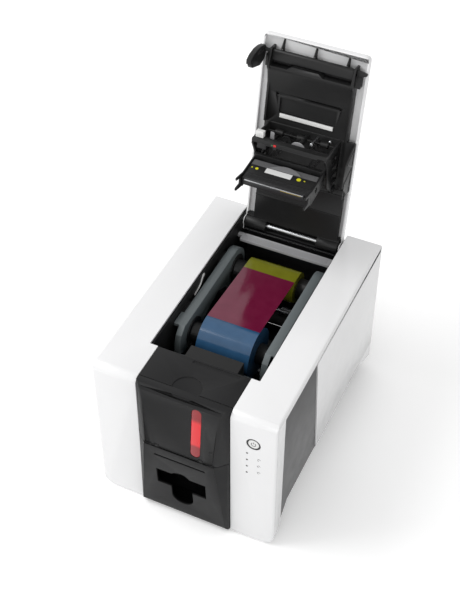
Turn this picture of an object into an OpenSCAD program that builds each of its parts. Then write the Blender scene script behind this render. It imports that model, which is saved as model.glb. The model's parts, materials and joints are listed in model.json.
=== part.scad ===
// Desktop printer for plastic identity cards, shown with its top cover swung open.
// X runs to the right, Y to the back and Z up. The origin lies on the table, in the
// middle of the printer's outline with its cover open. All lengths are in millimetres.

/* [Housing] */
// Width over the two side covers
body_w = 205; // [190:1:220]
// Length of the side covers, front to back
body_l = 292; // [280:1:310]
// Height of the side covers above the table
body_h = 195; // [190:1:205]
// Wall of the side covers
cover_wall = 2.6; // [2:0.1:3.2]
// Radius of the covers' front top edge
brow_r = 9; // [4:0.5:12]
// Radius of the covers' long outer edges
edge_r = 3; // [1:0.5:4]
// Width of the bay between the side covers
bay_w = 123; // [122.6:0.2:126]
// Width of the black front between the side covers
front_w = 104.4; // [100:0.2:108]
// Length of the narrow front part of the bay
front_l = 50.5; // [46:0.5:54]
// Height of the arch under each side cover
arch_h = 40; // [25:1:50]
// Height of the rubber feet
foot_h = 3; // [2:0.5:6]

/* [Black front] */
// How far the fold at the top of the door stands out of the covers
prow_top = 5; // [3:0.5:7]
// How far the seam under the door stands out
prow_mid = 13; // [10:0.5:15]
// How far the foot of the front stands out
prow_foot = 6; // [4:0.5:8]
// Height of the seam under the door
seam_z = 116.5; // [114:0.5:119]
// Half width of the flat centre face at the seam
crease_x = 39.4; // [36:0.2:42]
// Slope of the side facets, seen from above
facet_angle = 44; // [40:1:48]
// Wall of the door and of the lower front
front_wall = 2.4; // [2:0.1:3]
// Width of the card slot
slot_w = 58.4; // [56:0.2:60]
// Height of the card slot
slot_h = 2.2; // [1.6:0.1:3]
// Width of the card tray's mouth
mouth_w = 57; // [56:0.5:60]
// Height of the card tray's mouth
mouth_h = 24; // [18:0.5:26]
// Radius of the finger cut in the mouth
finger_r = 12.5; // [9:0.5:14]
// Width of the level window in the door
window_w = 10.8; // [8:0.2:13]
// Length of the level window in the door
window_l = 66; // [50:1:68]
// Distance of the level window from the middle
window_x = 18.5; // [12:0.5:22]

/* [Top cover] */
// Angle that the cover is swung open from shut
lid_open = 100.5; // [95:0.5:104]
// Width of the top cover
lid_w = 117.5; // [117.4:0.1:118]
// Wall of the top cover
lid_wall = 2.2; // [1.8:0.1:2.6]
// Depth of the top cover's skirt
lid_skirt = 8; // [6:0.5:8]
// Distance of the hinge rod below the top
hinge_drop = 10.6; // [10:0.1:11.4]
// Distance of the hinge rod from the back of the covers
hinge_inset = 14; // [13.4:0.1:15]
// Radius of the hinge rod
hinge_r = 2.5; // [2:0.1:3]

/* [Ribbon] */
// Width of the ribbon film
film_w = 61; // [56:0.5:62]
// Radius of the supply roll
supply_r = 28; // [22:0.5:28.5]
// Radius of the take-up roll
takeup_r = 18; // [14:0.5:19]
// Distance of the take-up spool from the back of the covers
takeup_inset = 66; // [65:0.5:68]
// Depth of the spools below the top
spool_drop = 38.5; // [38:0.5:42]
// Distance of the supply spool from the front of the covers
supply_inset = 117; // [116:0.5:119]
// Radius of the black spool hubs
hub_r = 11.5; // [10:0.5:13]

/* [Card path] */
// Height of the card path above the table
path_z = 102.5; // [100:0.5:104]
// Width of a card
card_w = 54; // [53:0.5:54.5]
// Radius of the drive rollers
roller_r = 8; // [6:0.5:9]
// Radius of the roller shafts
shaft_r = 3; // [2:0.1:4]
// Radius of the pinch rollers
pinch_r = 5; // [4:0.5:6]
// Radius of the drive pulleys
pulley_r = 9.7; // [8:0.1:11]

/* [Controls] */
// Distance of the power button from the middle
button_x = 77.5; // [74:0.5:82]
// Distance of the power button below the top
button_drop = 34.5; // [30:0.5:40]
// Radius of the power button
button_r = 5.9; // [4:0.1:7]
// Outer radius of the ring round the button
ring_r = 7.75; // [7.4:0.05:9]
// Travel of the power button
button_travel = 0.8; // [0.4:0.1:1.2]
// Step between the status lights
light_step = 10.3; // [8:0.1:11]

/* [Fits] */
// Clearance round a turning shaft
run_gap = 0.05; // [0.02:0.01:0.1]
// Gap between neighbouring covers
seam_gap = 0.5; // [0.3:0.1:0.8]

/* [Hidden] */

$fn = 64;
eps = 0.01;
cut = 1;

// Colours
white = [0.93, 0.93, 0.93];
black = [0.13, 0.13, 0.14];
charcoal = [0.28, 0.28, 0.29];
grey = [0.42, 0.46, 0.47];
silver = [0.75, 0.76, 0.78];
board_green = [0.10, 0.34, 0.20];

// Outer faces of the side covers
button_z = body_h - button_drop;
side_x = body_w / 2;
lean = lid_open - 90;
lid_l = body_l - hinge_inset - front_l - seam_gap;
tip_r = 2;
rear_reach = (lid_l - tip_r) * sin(lean) + (hinge_drop - tip_r) * cos(lean) + tip_r - hinge_inset;
front_y = prow_mid - (body_l + prow_mid + rear_reach) / 2;
rear_y = front_y + body_l;
bay_x = bay_w / 2;
front_x = front_w / 2;
bay_front_y = front_y + front_l;

// Side frames: two upright plates that carry every shaft
frame_x = bay_x - 1.5;
frame_t = 2.5;
frame_out = frame_x + frame_t;
frame_top = body_h - cover_wall;
slant_top = front_y + 102.3;
slant_foot = front_y + 116;
panel_top = body_h - 7;
panel_gap = 0.1;
tray_z = foot_h;
tray_t = 3;
tray_top = tray_z + tray_t;
tray_x = 88;
post_front = 40;
post_rear = 18;

// Top cover, drawn shut and then swung open about its hinge rod
hinge_y = rear_y - hinge_inset;
hinge_z = body_h - hinge_drop;
lid_x = lid_w / 2;
lid_tip_y = bay_front_y + seam_gap;
lid_under = body_h - lid_wall;
lid_skirt_z = body_h - lid_skirt;
lid_frame_x = 48;
housing_x = 42.3;
housing_t = 2.3;

// Spools and film
supply_y = front_y + supply_inset;
takeup_y = rear_y - takeup_inset;
spool_pitch = takeup_y - supply_y;
spool_z = body_h - spool_drop;
film_x = film_w / 2;
core_r = 10;
journal_r = 5;
rail_in = 46;
rail_wall = 3;
rail_out = 56.2;
rail_rise = 24.5;
rail_top = spool_z + rail_rise;
flange_t = 2.5;
tab_y = supply_y - 18.4;
tab_l = 18.4;
ledge_drop = flange_t + 0.1;
tie_rear_y = takeup_y;
tie_rear_z = spool_z - takeup_r - 2.5;
web_gap = 0.35;
web_t = 0.3;
web_tilt = asin((supply_r - takeup_r) / spool_pitch);

// Rollers under the card path
roller_z = path_z - roller_r;
platen_y = takeup_y - 43;
feed_y = front_y + 62;
cleaning_y = front_y + 92;
front_roller_y = supply_y + 17;
rear_roller_y = takeup_y + 4;
pinch_z = path_z + 0.9 + pinch_r;
pulley_x0 = frame_out + 4.5;
pulley_x1 = pulley_x0 + 8;
motor_y = platen_y + 3;
motor_z = 52;
motor_size = 36;
motor_shaft_r = 2.5;
pinch_shaft_r = 2;
spool_shaft_r = 4;

// Black front
door_back_y = front_y + 8 - seam_gap;
fold_z = body_h - 3;
door_bottom = seam_z + 0.3;
lower_top = seam_z - 0.3;
barrel_r = 2.4;
door_pin_r = 1;
door_axis_z = door_bottom + barrel_r;
ear_x = 25;
ear_w = 4.6;
foot_z = 8;
face_lean = atan((prow_mid - prow_top) / (fold_z - seam_z));
foot_lean = atan((prow_mid - prow_foot) / (seam_z - foot_z));
door_face_y = front_y - prow_mid + (door_axis_z - seam_z) * tan(face_lean);
door_axis_y = door_face_y + barrel_r / cos(face_lean);
top_flare = 4.2;
foot_flare = 5.4;
front_half = front_x - 0.4;
flange_top = tray_top + 2.5;
mouth_z = 53;

// Card hopper
hopper_in = 27.6;
hopper_t = 2.4;
hopper_out = hopper_in + hopper_t;
hopper_front = front_y - 2;
hopper_back = bay_front_y + 31;
hopper_top = spool_z + 19.5;

// Print head, drawn with the cover shut
head_axis_y = platen_y - 21;
head_axis_z = lid_skirt_z - 17;
head_foot_y = platen_y - 2;
head_foot_z = path_z + 2;
head_lean = 12.7;
head_x = 37.5;

// Bars that run along X, between x0 and x1
module bar_x(r, x0, x1, y, z) {
    translate([x0, y, z]) rotate([0, 90, 0]) cylinder(r = r, h = x1 - x0);
}

module block(x0, x1, y0, y1, z0, z1) {
    translate([x0, y0, z0]) cube([x1 - x0, y1 - y0, z1 - z0]);
}

// An outline drawn in Y and Z, pulled out along X
module along_x(x0, x1) {
    translate([x0, 0, 0]) rotate([90, 0, 90]) linear_extrude(x1 - x0) children();
}

// An outline drawn in X and Z, pulled out along Y
module along_y(y0, y1) {
    translate([0, y1, 0]) rotate([90, 0, 0]) linear_extrude(y1 - y0) children();
}

// The waste left outside a rounded corner whose sides run towards +x and +y
module corner_waste(r) {
    difference() {
        translate([-cut, -cut]) square(r + cut);
        translate([r, r]) circle(r);
    }
}

module both_sides() {
    children();
    mirror([1, 0, 0]) children();
}

// Swings a piece that is drawn shut to the open position
module on_lid() {
    translate([0, hinge_y, hinge_z]) rotate([-lid_open, 0, 0])
        translate([0, -hinge_y, -hinge_z]) children();
}

// Side covers
cover_foot = 1.5;
foot_corner_r = 15;
rear_recess = 1.6;
front_recess = 1.8;
arch_foot = [front_y + 19, 25];
arch_top = [front_y + 37, arch_h];

// The outline leaves an arch between the front foot and the rear foot
module cover_outline() {
    polygon([
        [front_y, cover_foot], [front_y + 4, cover_foot], arch_foot, arch_top,
        [rear_y - 47, arch_h], [rear_y - 17, 23], [rear_y, 16], [rear_y, body_h], [front_y, body_h]]);
}

module cover_cavity() {
    difference() {
        along_x(front_x + cover_wall, side_x - cover_wall) polygon([
            [front_y + cover_wall, 0], [rear_y + cut, 0],
            [rear_y + cut, body_h - cover_wall], [front_y + cover_wall, body_h - cover_wall]]);
        along_x(0, side_x) translate([front_y + cover_wall, body_h - cover_wall])
            rotate(-90) corner_waste(brow_r - cover_wall);
    }
    block(0, front_x + cover_wall + eps, front_y + 10, rear_y + cut, 0, body_h - cover_wall);
}

module panel_outline(gap) {
    polygon([[slant_top + gap, panel_top - gap], [slant_foot + gap, arch_h - cut],
        [rear_y - 3 - gap, arch_h - cut], [rear_y - 3 - gap, panel_top - gap]]);
}

module front_panel_outline(gap) {
    polygon([arch_foot + [gap, gap], arch_top + [0, gap], [slant_foot - seam_gap - gap, arch_h + gap],
        [slant_top - seam_gap - gap, panel_top - gap], [front_y + 21 + gap, panel_top - gap]]);
}

module side_cover() {
    difference() {
        along_x(front_x, side_x) cover_outline();
        cover_cavity();
        // The bay is wider than the black front
        block(0, bay_x, bay_front_y, rear_y + cut, 0, body_h + cut);
        // Rounded front top edge and rear top edge
        along_x(0, side_x + cut) translate([front_y, body_h]) rotate(-90) corner_waste(brow_r);
        along_x(0, side_x + cut) translate([rear_y, body_h]) rotate(180) corner_waste(edge_r);
        // Rounded long outer edge, front corner and lower front corner
        along_y(front_y - cut, rear_y + cut) translate([side_x, body_h]) rotate(180) corner_waste(edge_r);
        translate([side_x, front_y, -cut]) rotate(90) linear_extrude(body_h + 2 * cut) corner_waste(edge_r);
        along_y(front_y - cut, front_y + 20) translate([side_x, cover_foot]) rotate(90)
            corner_waste(foot_corner_r);
        // Recesses for the two side panels
        along_x(side_x - front_recess, side_x + cut) front_panel_outline(0);
        along_x(side_x - rear_recess, side_x + cut) panel_outline(0);
    }
}

// The right cover carries the power button and the status lights
module right_cover() {
    color(white) difference() {
        side_cover();
        along_y(front_y - cut, front_y + cover_wall + cut) translate([button_x, button_z]) circle(ring_r + run_gap);
        for (i = [0:3])
            along_y(front_y - cut, front_y + cover_wall + cut)
                translate([light_x, light_z - i * light_step]) circle(1.15);
    }
}

light_x = button_x - 6.8;
light_z = button_z - 16.7;

module left_cover() {
    color(white) mirror([1, 0, 0]) side_cover();
}

module rear_side_panel() {
    color(white) along_x(side_x - rear_recess, side_x + 0.6) intersection() {
        panel_outline(panel_gap);
        translate([front_y, arch_h]) square([body_l, body_h]);
    }
}

module left_rear_side_panel() mirror([1, 0, 0]) rear_side_panel();
module right_rear_side_panel() rear_side_panel();

module front_side_panel() {
    color(charcoal) along_x(side_x - front_recess, side_x - 0.6) front_panel_outline(panel_gap);
}

module left_front_side_panel() mirror([1, 0, 0]) front_side_panel();
module right_front_side_panel() front_side_panel();

// Base, feet and frames
tray_wall = 2.5;
tray_front = front_y + 10.3;
tray_back = rear_y - 3;
end_wall_h = 14;
frame_front = tray_front + tray_wall + 0.2;

module base_tray() {
    in_x = tray_x - tray_wall;
    color(black) difference() {
        block(-tray_x, tray_x, tray_front, tray_back, tray_z, arch_h + 4);
        block(-in_x, in_x, tray_front + tray_wall, tray_back - tray_wall, tray_top, arch_h + 4 + cut);
        // The end walls are low
        block(-in_x, in_x, tray_front - cut, tray_back + cut, tray_z + end_wall_h, arch_h + 4 + cut);
        block(-front_half, front_half, tray_front - cut, tray_front + tray_wall + cut, tray_top,
            tray_z + end_wall_h + cut);
    }
}

foot_x = 68;
foot_inset = 26;

module rubber_feet() {
    color(black) for (x = [-foot_x, foot_x], y = [front_y + foot_inset, rear_y - foot_inset])
        translate([x, y, 0]) cylinder(r = 9, h = foot_h);
}

module frame_outline() {
    polygon([[frame_front, tray_top], [rear_y - 6, tray_top], [rear_y - 6, frame_top - 1],
        [bay_front_y, frame_top - 1], [bay_front_y, frame_top], [frame_front, frame_top - 6]]);
}

// One frame, drawn on the right. The right one carries the spool shafts, the left one the motor
module frame_plate(spool_side) {
    difference() {
        union() {
            along_x(frame_x, frame_out) frame_outline();
            // Ledges that the ribbon cassette rests on
            for (y = [supply_y + 3, takeup_y - 18])
                block(rail_out - 1.4, frame_x + eps, y, y + 17, rail_top - ledge_drop - 3.4, rail_top - ledge_drop);
            // Posts that hold the side cover
            for (y = [front_y + post_front, rear_y - post_rear], z = [arch_h + 25, body_h - 30])
                bar_x(4, frame_out - eps, side_x - cover_wall, y, z);
        }
        bar_x(hinge_r + run_gap, frame_x - cut, frame_out + cut, hinge_y, hinge_z);
        for (y = [feed_y, cleaning_y, front_roller_y, platen_y, rear_roller_y])
            bar_x(shaft_r + run_gap, frame_x - cut, frame_out + cut, y, roller_z);
        for (y = [front_roller_y, rear_roller_y])
            bar_x(pinch_shaft_r + run_gap, frame_x - cut, frame_out + cut, y, pinch_z);
        if (spool_side)
            for (y = [supply_y, takeup_y])
                bar_x(spool_shaft_r + run_gap, frame_x - cut, frame_out + cut, y, spool_z);
        else
            bar_x(motor_shaft_r + run_gap, frame_x - cut, frame_out + cut, motor_y, motor_z);
    }
}

module left_frame() color(black) mirror([1, 0, 0]) frame_plate(false);
module right_frame() color(black) frame_plate(true);

inlet_x = -42;
ports_x = 30;
socket_z = 34;

module rear_panel() {
    color(black) difference() {
        union() {
            block(-side_x + cover_wall + 0.2, side_x - cover_wall - 0.2, rear_y - 2.6, rear_y, 17, hinge_z - 4.4);
            both_sides() block(bay_x + 0.2, side_x - cover_wall - 0.2, rear_y - 2.6, rear_y, hinge_z - 5,
                body_h - cover_wall - 0.2);
        }
        block(inlet_x - 14.2, inlet_x + 14.2, rear_y - 4, rear_y + cut, socket_z - 10.2, socket_z + 10.2);
        block(ports_x - 22.2, ports_x + 22.2, rear_y - 4, rear_y + cut, socket_z - 8.2, socket_z + 8.2);
        for (i = [0:8])
            block(-30, 30, rear_y - 1.8, rear_y + cut, 90 + i * 7, 93 + i * 7);
    }
}

module case_screws() {
    color(silver) for (x = [-side_x + 12, side_x - 12], z = [60, body_h - 20])
        translate([x, rear_y, z]) rotate([-90, 0, 0]) difference() {
            cylinder(r = 3, h = 1.4);
            translate([0, 0, 0.6]) cylinder(r = 1.5, h = 2, $fn = 6);
        }
}

// Black front
module on_door_face() {
    translate([0, front_y - prow_mid, seam_z]) rotate([-face_lean, 0, 0]) children();
}

module on_lower_face() {
    translate([0, front_y - prow_mid, seam_z]) rotate([foot_lean, 0, 0]) children();
}

// Takes away what lies outside one side facet, or within depth of it
module facet_waste(flare, z0, z1, depth) {
    translate([crease_x, 0, 0]) rotate([0, flare, 0]) rotate([0, 0, facet_angle])
        translate([-4 * depth, -30, z0]) cube([60 + 4 * depth, 30 + depth, z1 - z0]);
}

module door_outline() {
    polygon([[door_face_y, door_axis_z], [front_y - prow_top, fold_z],
        [front_y - prow_top + 3.5, body_h], [door_back_y, body_h], [door_back_y, door_bottom],
        [door_axis_y, door_bottom]]);
}

module door_hollow() {
    polygon([[front_y - prow_mid + front_wall, door_bottom + barrel_r + 1],
        [front_y - prow_top + front_wall, fold_z - 1.5], [front_y - prow_top + 4.5, body_h - front_wall],
        [door_back_y + cut, body_h - front_wall], [door_back_y + cut, door_bottom - cut],
        [door_axis_y + barrel_r, door_bottom - cut], [door_axis_y + barrel_r, door_bottom + barrel_r + 1]]);
}

module window_shape(grow) {
    r = window_w / 2 + grow;
    foot = 6.5 + window_w / 2;
    translate([window_x, foot]) circle(r);
    translate([window_x, foot + window_l - window_w]) circle(r);
    translate([window_x - r, foot]) square([2 * r, window_l - window_w]);
}

module feeder_door() {
    color(black) difference() {
        union() {
            difference() {
                along_x(-front_half, front_half) door_outline();
                difference() {
                    along_x(-front_half + front_wall, front_half - front_wall) door_hollow();
                    both_sides() on_door_face() facet_waste(top_flare, -5, 110, front_wall);
                }
            }
            bar_x(barrel_r, -crease_x + 1, crease_x - 1, door_axis_y, door_axis_z);
        }
        both_sides() on_door_face() facet_waste(top_flare, -5, 110, 0);
        both_sides() block(ear_x - ear_w / 2 - 0.3, ear_x + ear_w / 2 + 0.3, door_axis_y - 4,
            door_axis_y + barrel_r + 1.2, door_bottom - cut, door_axis_z + barrel_r + 0.5);
        bar_x(door_pin_r + run_gap, -crease_x, crease_x, door_axis_y, door_axis_z);
        on_door_face() along_y(-2, front_wall + 2) window_shape(0.1);
        // Finger notch in the door's top edge
        translate([0, door_back_y + 4, body_h - front_wall - cut]) cylinder(r = 15.5, h = 1.2 + cut);
    }
}

// The window fills its hole and shows the level of the cards
module door_window() {
    color("red") on_door_face() along_y(0.4, front_wall) window_shape(0);
}

module door_hinge_rod() {
    color(silver) bar_x(door_pin_r, -crease_x + 1.5, crease_x - 1.5, door_axis_y, door_axis_z);
}

module lower_outline() {
    polygon([[front_y - prow_mid, lower_top], [front_y - prow_foot, foot_z], [front_y - prow_foot + 5, 2],
        [front_y + 8, 2], [front_y + 8, lower_top]]);
}

module lower_hollow() {
    polygon([[front_y - prow_mid + front_wall, lower_top - front_wall], [front_y - prow_foot + front_wall, foot_z + 1],
        [front_y - prow_foot + 6, 2 + front_wall], [front_y + 9, 2 + front_wall], [front_y + 9, lower_top - front_wall]]);
}

module mouth_shape() {
    translate([-mouth_w / 2, mouth_z]) square([mouth_w, mouth_h]);
    translate([0, mouth_z - 14]) circle(finger_r);
    translate([0, mouth_z + mouth_h + 5.5 - finger_r]) circle(finger_r);
    translate([-finger_r, mouth_z - 14]) square([2 * finger_r, mouth_h + 19.5 - finger_r]);
}

module front_panel() {
    color(black) difference() {
        union() {
            difference() {
                along_x(-front_half, front_half) lower_outline();
                difference() {
                    along_x(-front_half + front_wall, front_half - front_wall) lower_hollow();
                    both_sides() on_lower_face() facet_waste(-foot_flare, -140, 10, front_wall);
                }
            }
            // Ears that hold the door's hinge rod
            both_sides() intersection() {
                union() {
                    bar_x(barrel_r, ear_x - ear_w / 2, ear_x + ear_w / 2, door_axis_y, door_axis_z);
                    block(ear_x - ear_w / 2, ear_x + ear_w / 2, door_axis_y - 1.6, door_axis_y + 1.6,
                        lower_top - 3, door_axis_z);
                }
                block(0, 60, front_y - 40, front_y, 0, body_h);
            }
            // Flange that rests on the base tray
            block(-front_half + front_wall, front_half - front_wall, front_y, front_y + 24, tray_top + 0.1, flange_top);
        }
        both_sides() on_lower_face() facet_waste(-foot_flare, -140, 10, 0);
        bar_x(door_pin_r + 0.03, -crease_x, crease_x, door_axis_y, door_axis_z);
        along_y(front_y - 30, front_y + 20)
            translate([-slot_w / 2, path_z - 0.6]) square([slot_w, slot_h]);
        along_y(front_y - 30, front_y + 12) mouth_shape();
        // The card hopper stands through the roof
        block(-hopper_out - 0.3, hopper_out + 0.3, hopper_front - 0.5, front_y + 9, lower_top - 5, lower_top + cut);
    }
}

module top_panel() {
    color(black) difference() {
        union() {
            block(-front_half, front_half, door_back_y + seam_gap, bay_front_y - 0.5, body_h - 2.6, body_h);
            block(-frame_x + 0.1, frame_x - 0.1, bay_front_y - 2.9, bay_front_y - 0.5, spool_z - 8, body_h - 3.8);
            block(-front_half, front_half, bay_front_y - 2.9, bay_front_y - 0.5, body_h - 4, body_h - 2);
        }
        // The hopper stands through the bay's front wall
        block(-hopper_out - 0.3, hopper_out + 0.3, bay_front_y - 4, bay_front_y, spool_z - 9, hopper_top + 0.3);
        // Finger recess that meets the notch in the door
        translate([0, door_back_y + 4, body_h - 1.2]) cylinder(r = 15.5, h = 2);
        // Long shallow slot near the back edge
        translate([-10, bay_front_y - 6, body_h - 1]) cube([52, 3.4, 2]);
    }
}

// Card hopper, where blank cards are stacked behind the door
module card_hopper() {
    color(black) difference() {
        union() {
            // Floor between the side frames
            block(-frame_x + 0.1, frame_x - 0.1, front_y + 12, hopper_back, path_z - 2.5, path_z);
            block(-hopper_in - hopper_t, hopper_in + hopper_t, hopper_front, front_y + 13, path_z - 2.5, path_z);
            both_sides() along_x(hopper_in, hopper_in + hopper_t) polygon([
                [hopper_front, path_z - 2.5], [hopper_back, path_z - 2.5], [hopper_back, hopper_top],
                [front_y + 12, hopper_top], [hopper_front, hopper_top - 40]]);
            // Back wall with a gap under it for one card, and the roof over it
            block(-hopper_in - hopper_t, hopper_in + hopper_t, hopper_back - 2.4, hopper_back, path_z + 1.6, hopper_top);
            block(-hopper_in - hopper_t, hopper_in + hopper_t, bay_front_y, hopper_back, hopper_top - 2, hopper_top);
        }
        // Window for the feed roller
        block(-23, 23, feed_y - 10, feed_y + 10, path_z - 4, path_z + cut);
    }
}

// Tray that catches the printed cards behind the mouth
module output_tray() {
    color(black) difference() {
        union() {
            block(-mouth_w / 2 - 2.4, mouth_w / 2 + 2.4, front_y + 9, bay_front_y + 28, mouth_z - 3, mouth_z);
            both_sides() block(mouth_w / 2, mouth_w / 2 + 2.4, front_y + 9, bay_front_y + 28, mouth_z - 3, mouth_z + 30);
            block(-mouth_w / 2, mouth_w / 2, bay_front_y + 25.6, bay_front_y + 28, mouth_z - 3, mouth_z + 30);
            both_sides() block(mouth_w / 2 - 4, mouth_w / 2, front_y + 40, bay_front_y + 20, tray_top, mouth_z - 2.9);
        }
        translate([0, front_y + 9, mouth_z - 4]) cylinder(r = finger_r, h = 10);
        translate([-finger_r, front_y + 8, mouth_z - 4]) cube([2 * finger_r, 12, 10]);
        translate([0, front_y + 20, mouth_z - 4]) cylinder(r = finger_r, h = 10);
    }
}

// Ribbon cassette
nose_r = 14;
tie_boss_r = 6;

module rail_profile(grow) {
    translate([takeup_y, spool_z]) circle(rail_rise + grow);
    translate([tie_rear_y, tie_rear_z]) circle(tie_boss_r + grow);
    translate([supply_y, spool_z]) circle(nose_r + grow);
    polygon([[supply_y + 8, spool_z - 13 - grow], [supply_y + 24, spool_z - 5 - grow],
        [takeup_y - 46, spool_z + 5 - grow], [takeup_y - 25, spool_z - 7 - grow], [takeup_y, spool_z - 10 - grow],
        [takeup_y, rail_top + grow], [tab_y, rail_top + grow], [supply_y - 27 - 0.7 * grow, rail_top - 7 + 0.7 * grow],
        [supply_y - 31 - grow, spool_z + 8], [supply_y - 33 - grow, spool_z - 10 - grow]]);
}

module rail_rim() {
    difference() {
        rail_profile(0);
        rail_profile(-flange_t);
    }
}

module cassette_rail() {
    difference() {
        union() {
            along_x(rail_in, rail_in + rail_wall) rail_profile(0);
            // Flange along the top and round the rear end, narrower round the front end
            along_x(rail_in, rail_out) intersection() {
                rail_rim();
                union() {
                    translate([tab_y, rail_top - 12]) square([spool_pitch + 60, 30]);
                    translate([takeup_y + 6, spool_z - 4]) square([40, 60]);
                }
            }
            along_x(rail_in, rail_in + 7) intersection() {
                rail_rim();
                translate([supply_y - 45, spool_z - 12]) square([27, 60]);
            }
            // Tab that a hand lifts the cassette by
            block(rail_out - 1, frame_x - 0.6, tab_y, tab_y + tab_l, rail_top - 4, rail_top);
        }
        for (y = [supply_y, takeup_y])
            bar_x(journal_r + run_gap, rail_in - cut, rail_in + rail_wall + cut, y, spool_z);
    }
}

module cassette_rail_left() color(grey) mirror([1, 0, 0]) cassette_rail();
module cassette_rail_right() color(grey) cassette_rail();

module cassette_ties() {
    color(grey) {
        bar_x(2, -rail_in, rail_in, supply_y - 32, spool_z - 7);
        bar_x(2, -rail_in, rail_in, tie_rear_y, tie_rear_z);
    }
}

// A spool core: film tube, two hubs with end discs, journals and a drive shaft on the right
disc_r = 17.5;
disc_t = 1.2;

module spool_core(y) {
    color(black) {
        bar_x(core_r, -film_x - 0.5, film_x + 0.5, y, spool_z);
        both_sides() bar_x(hub_r, film_x + 0.4, rail_in - 0.4, y, spool_z);
        both_sides() bar_x(disc_r, rail_in - 0.4 - disc_t, rail_in - 0.4, y, spool_z);
        both_sides() bar_x(journal_r, rail_in - 0.5, rail_in + rail_wall + 0.3, y, spool_z);
        bar_x(spool_shaft_r, rail_in + rail_wall, frame_out + 7, y, spool_z);
    }
}

module film_roll(r, y) {
    difference() {
        bar_x(r, -film_x, film_x, y, spool_z);
        bar_x(core_r + run_gap, -film_x - cut, film_x + cut, y, spool_z);
    }
}

module supply_core() spool_core(supply_y);
module takeup_core() spool_core(takeup_y);
module supply_film() color([0.20, 0.36, 0.50]) film_roll(supply_r, supply_y);
module takeup_film() color([0.45, 0.46, 0.06]) film_roll(takeup_r, takeup_y);

// Film that runs from the top of one roll to the top of the other
module ribbon_web() {
    color([0.42, 0.04, 0.20]) translate([0, supply_y, spool_z]) rotate([-web_tilt, 0, 0])
        block(-film_x, film_x, 0, spool_pitch * cos(web_tilt), supply_r + web_gap, supply_r + web_gap + web_t);
}

module rear_guide_bar() {
    color([0.62, 0.63, 0.64]) difference() {
        block(-frame_x + 0.1, frame_x - 0.1, hinge_y - 23, hinge_y - 12, hinge_z - 13, hinge_z - 9);
        both_sides() block(bay_x - 7, bay_x, hinge_y - 24, hinge_y - 17, hinge_z - 14, hinge_z);
        for (i = [-24:24])
            block(i * 2.1 - 0.5, i * 2.1 + 0.5, hinge_y - 24, hinge_y - 14, hinge_z - 9.7, hinge_z);
    }
}

module side_clip() {
    color(white) along_x(-frame_x, -frame_x + 1) polygon([
        [supply_y + 32, frame_top - 13], [supply_y + 56, frame_top - 3], [supply_y + 57, frame_top - 6],
        [supply_y + 44, frame_top - 13], [supply_y + 36, frame_top - 17]]);
}

// Top cover
module lid_profile(inset) {
    difference() {
        union() {
            polygon([[lid_tip_y + inset, lid_skirt_z], [hinge_y, lid_skirt_z],
                [hinge_y, body_h - inset], [lid_tip_y + inset, body_h - inset]]);
            translate([hinge_y, hinge_z]) circle(hinge_drop - inset);
        }
        translate([hinge_y - 30, hinge_z - 30]) square([30, 30 + hinge_drop - lid_skirt]);
        translate([hinge_y - eps, hinge_z - 30]) square([30, 26]);
    }
}

module lid_shell() {
    color(white) on_lid() difference() {
        union() {
            along_x(-lid_x, lid_x) lid_profile(0);
            both_sides() bar_x(6, lid_x - lid_wall, lid_x, hinge_y, hinge_z);
        }
        along_x(-lid_x + lid_wall, lid_x - lid_wall) lid_profile(lid_wall);
        block(-lid_x + lid_wall, lid_x - lid_wall, lid_tip_y + lid_wall, hinge_y, lid_skirt_z - cut, lid_under);
        block(-lid_x + lid_wall, lid_x - lid_wall, hinge_y - eps, hinge_y + hinge_drop - lid_wall, hinge_z - 12, hinge_z);
        bar_x(hinge_r + run_gap, -lid_x - cut, lid_x + cut, hinge_y, hinge_z);
        both_sides() along_y(lid_tip_y - cut, rear_y + 5) translate([lid_x, body_h]) rotate(180) corner_waste(tip_r);
        along_x(-lid_x - cut, lid_x + cut) translate([lid_tip_y, body_h]) rotate(-90) corner_waste(tip_r);
        both_sides() translate([lid_x, lid_tip_y, body_h - 20]) rotate(90) linear_extrude(40) corner_waste(6);
    }
}

// Inside of the cover: a trough behind the latch, a ledge, a slope over the supply roll and a flat plate
latch_pin_r = 2;
latch_bar_r = 3;
latch_y = lid_tip_y + 17;
latch_z = lid_skirt_z - latch_pin_r - 0.4;
trough_y = latch_y + latch_bar_r + 0.5;
trough_z = lid_under - 3.4;
ledge_y = lid_tip_y + 33;
slope_end = lid_tip_y + 61;
plate_t = 4;
plate_z = spool_z + supply_r + 0.5;
plate_end = head_axis_y - 14;
ledge_z = plate_z - 7;
rib_t = 2.5;
rib_z = rail_top + 1.3;
gusset_x = 36.5;
gusset_t = 1.6;
strip_y = supply_y + 18.5;
strip_w = 4.5;
wing_x = lid_x - 0.8;
wing_t = 1.3;
housing_end = head_axis_y + 44;
rear_plate_x = lid_x - 5;
barrel_in = 31;
barrel_out = lid_x - 2.5;
lid_barrel_r = 7;
apron_r = 7.9;
apron_t = 1.7;

module inner_plate() {
    along_x(-lid_frame_x, lid_frame_x) polygon([
        [trough_y, lid_under], [trough_y, trough_z], [ledge_y - 2, trough_z], [ledge_y - 2, ledge_z],
        [ledge_y, ledge_z], [slope_end, plate_z], [plate_end + eps, plate_z],
        [plate_end + eps, plate_z + plate_t], [slope_end, plate_z + plate_t], [ledge_y + 2, plate_z + 2],
        [ledge_y, trough_z + 2], [trough_y + 2, trough_z + 2], [trough_y + 2, lid_under]]);
    // The ledge steps up in its middle
    translate([0, 0, ledge_z]) linear_extrude(trough_z - ledge_z + 0.5)
        polygon([[-27, ledge_y - 1.5], [-21, ledge_y - 6], [9, ledge_y - 6], [15, ledge_y - 1.5]]);
}

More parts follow.
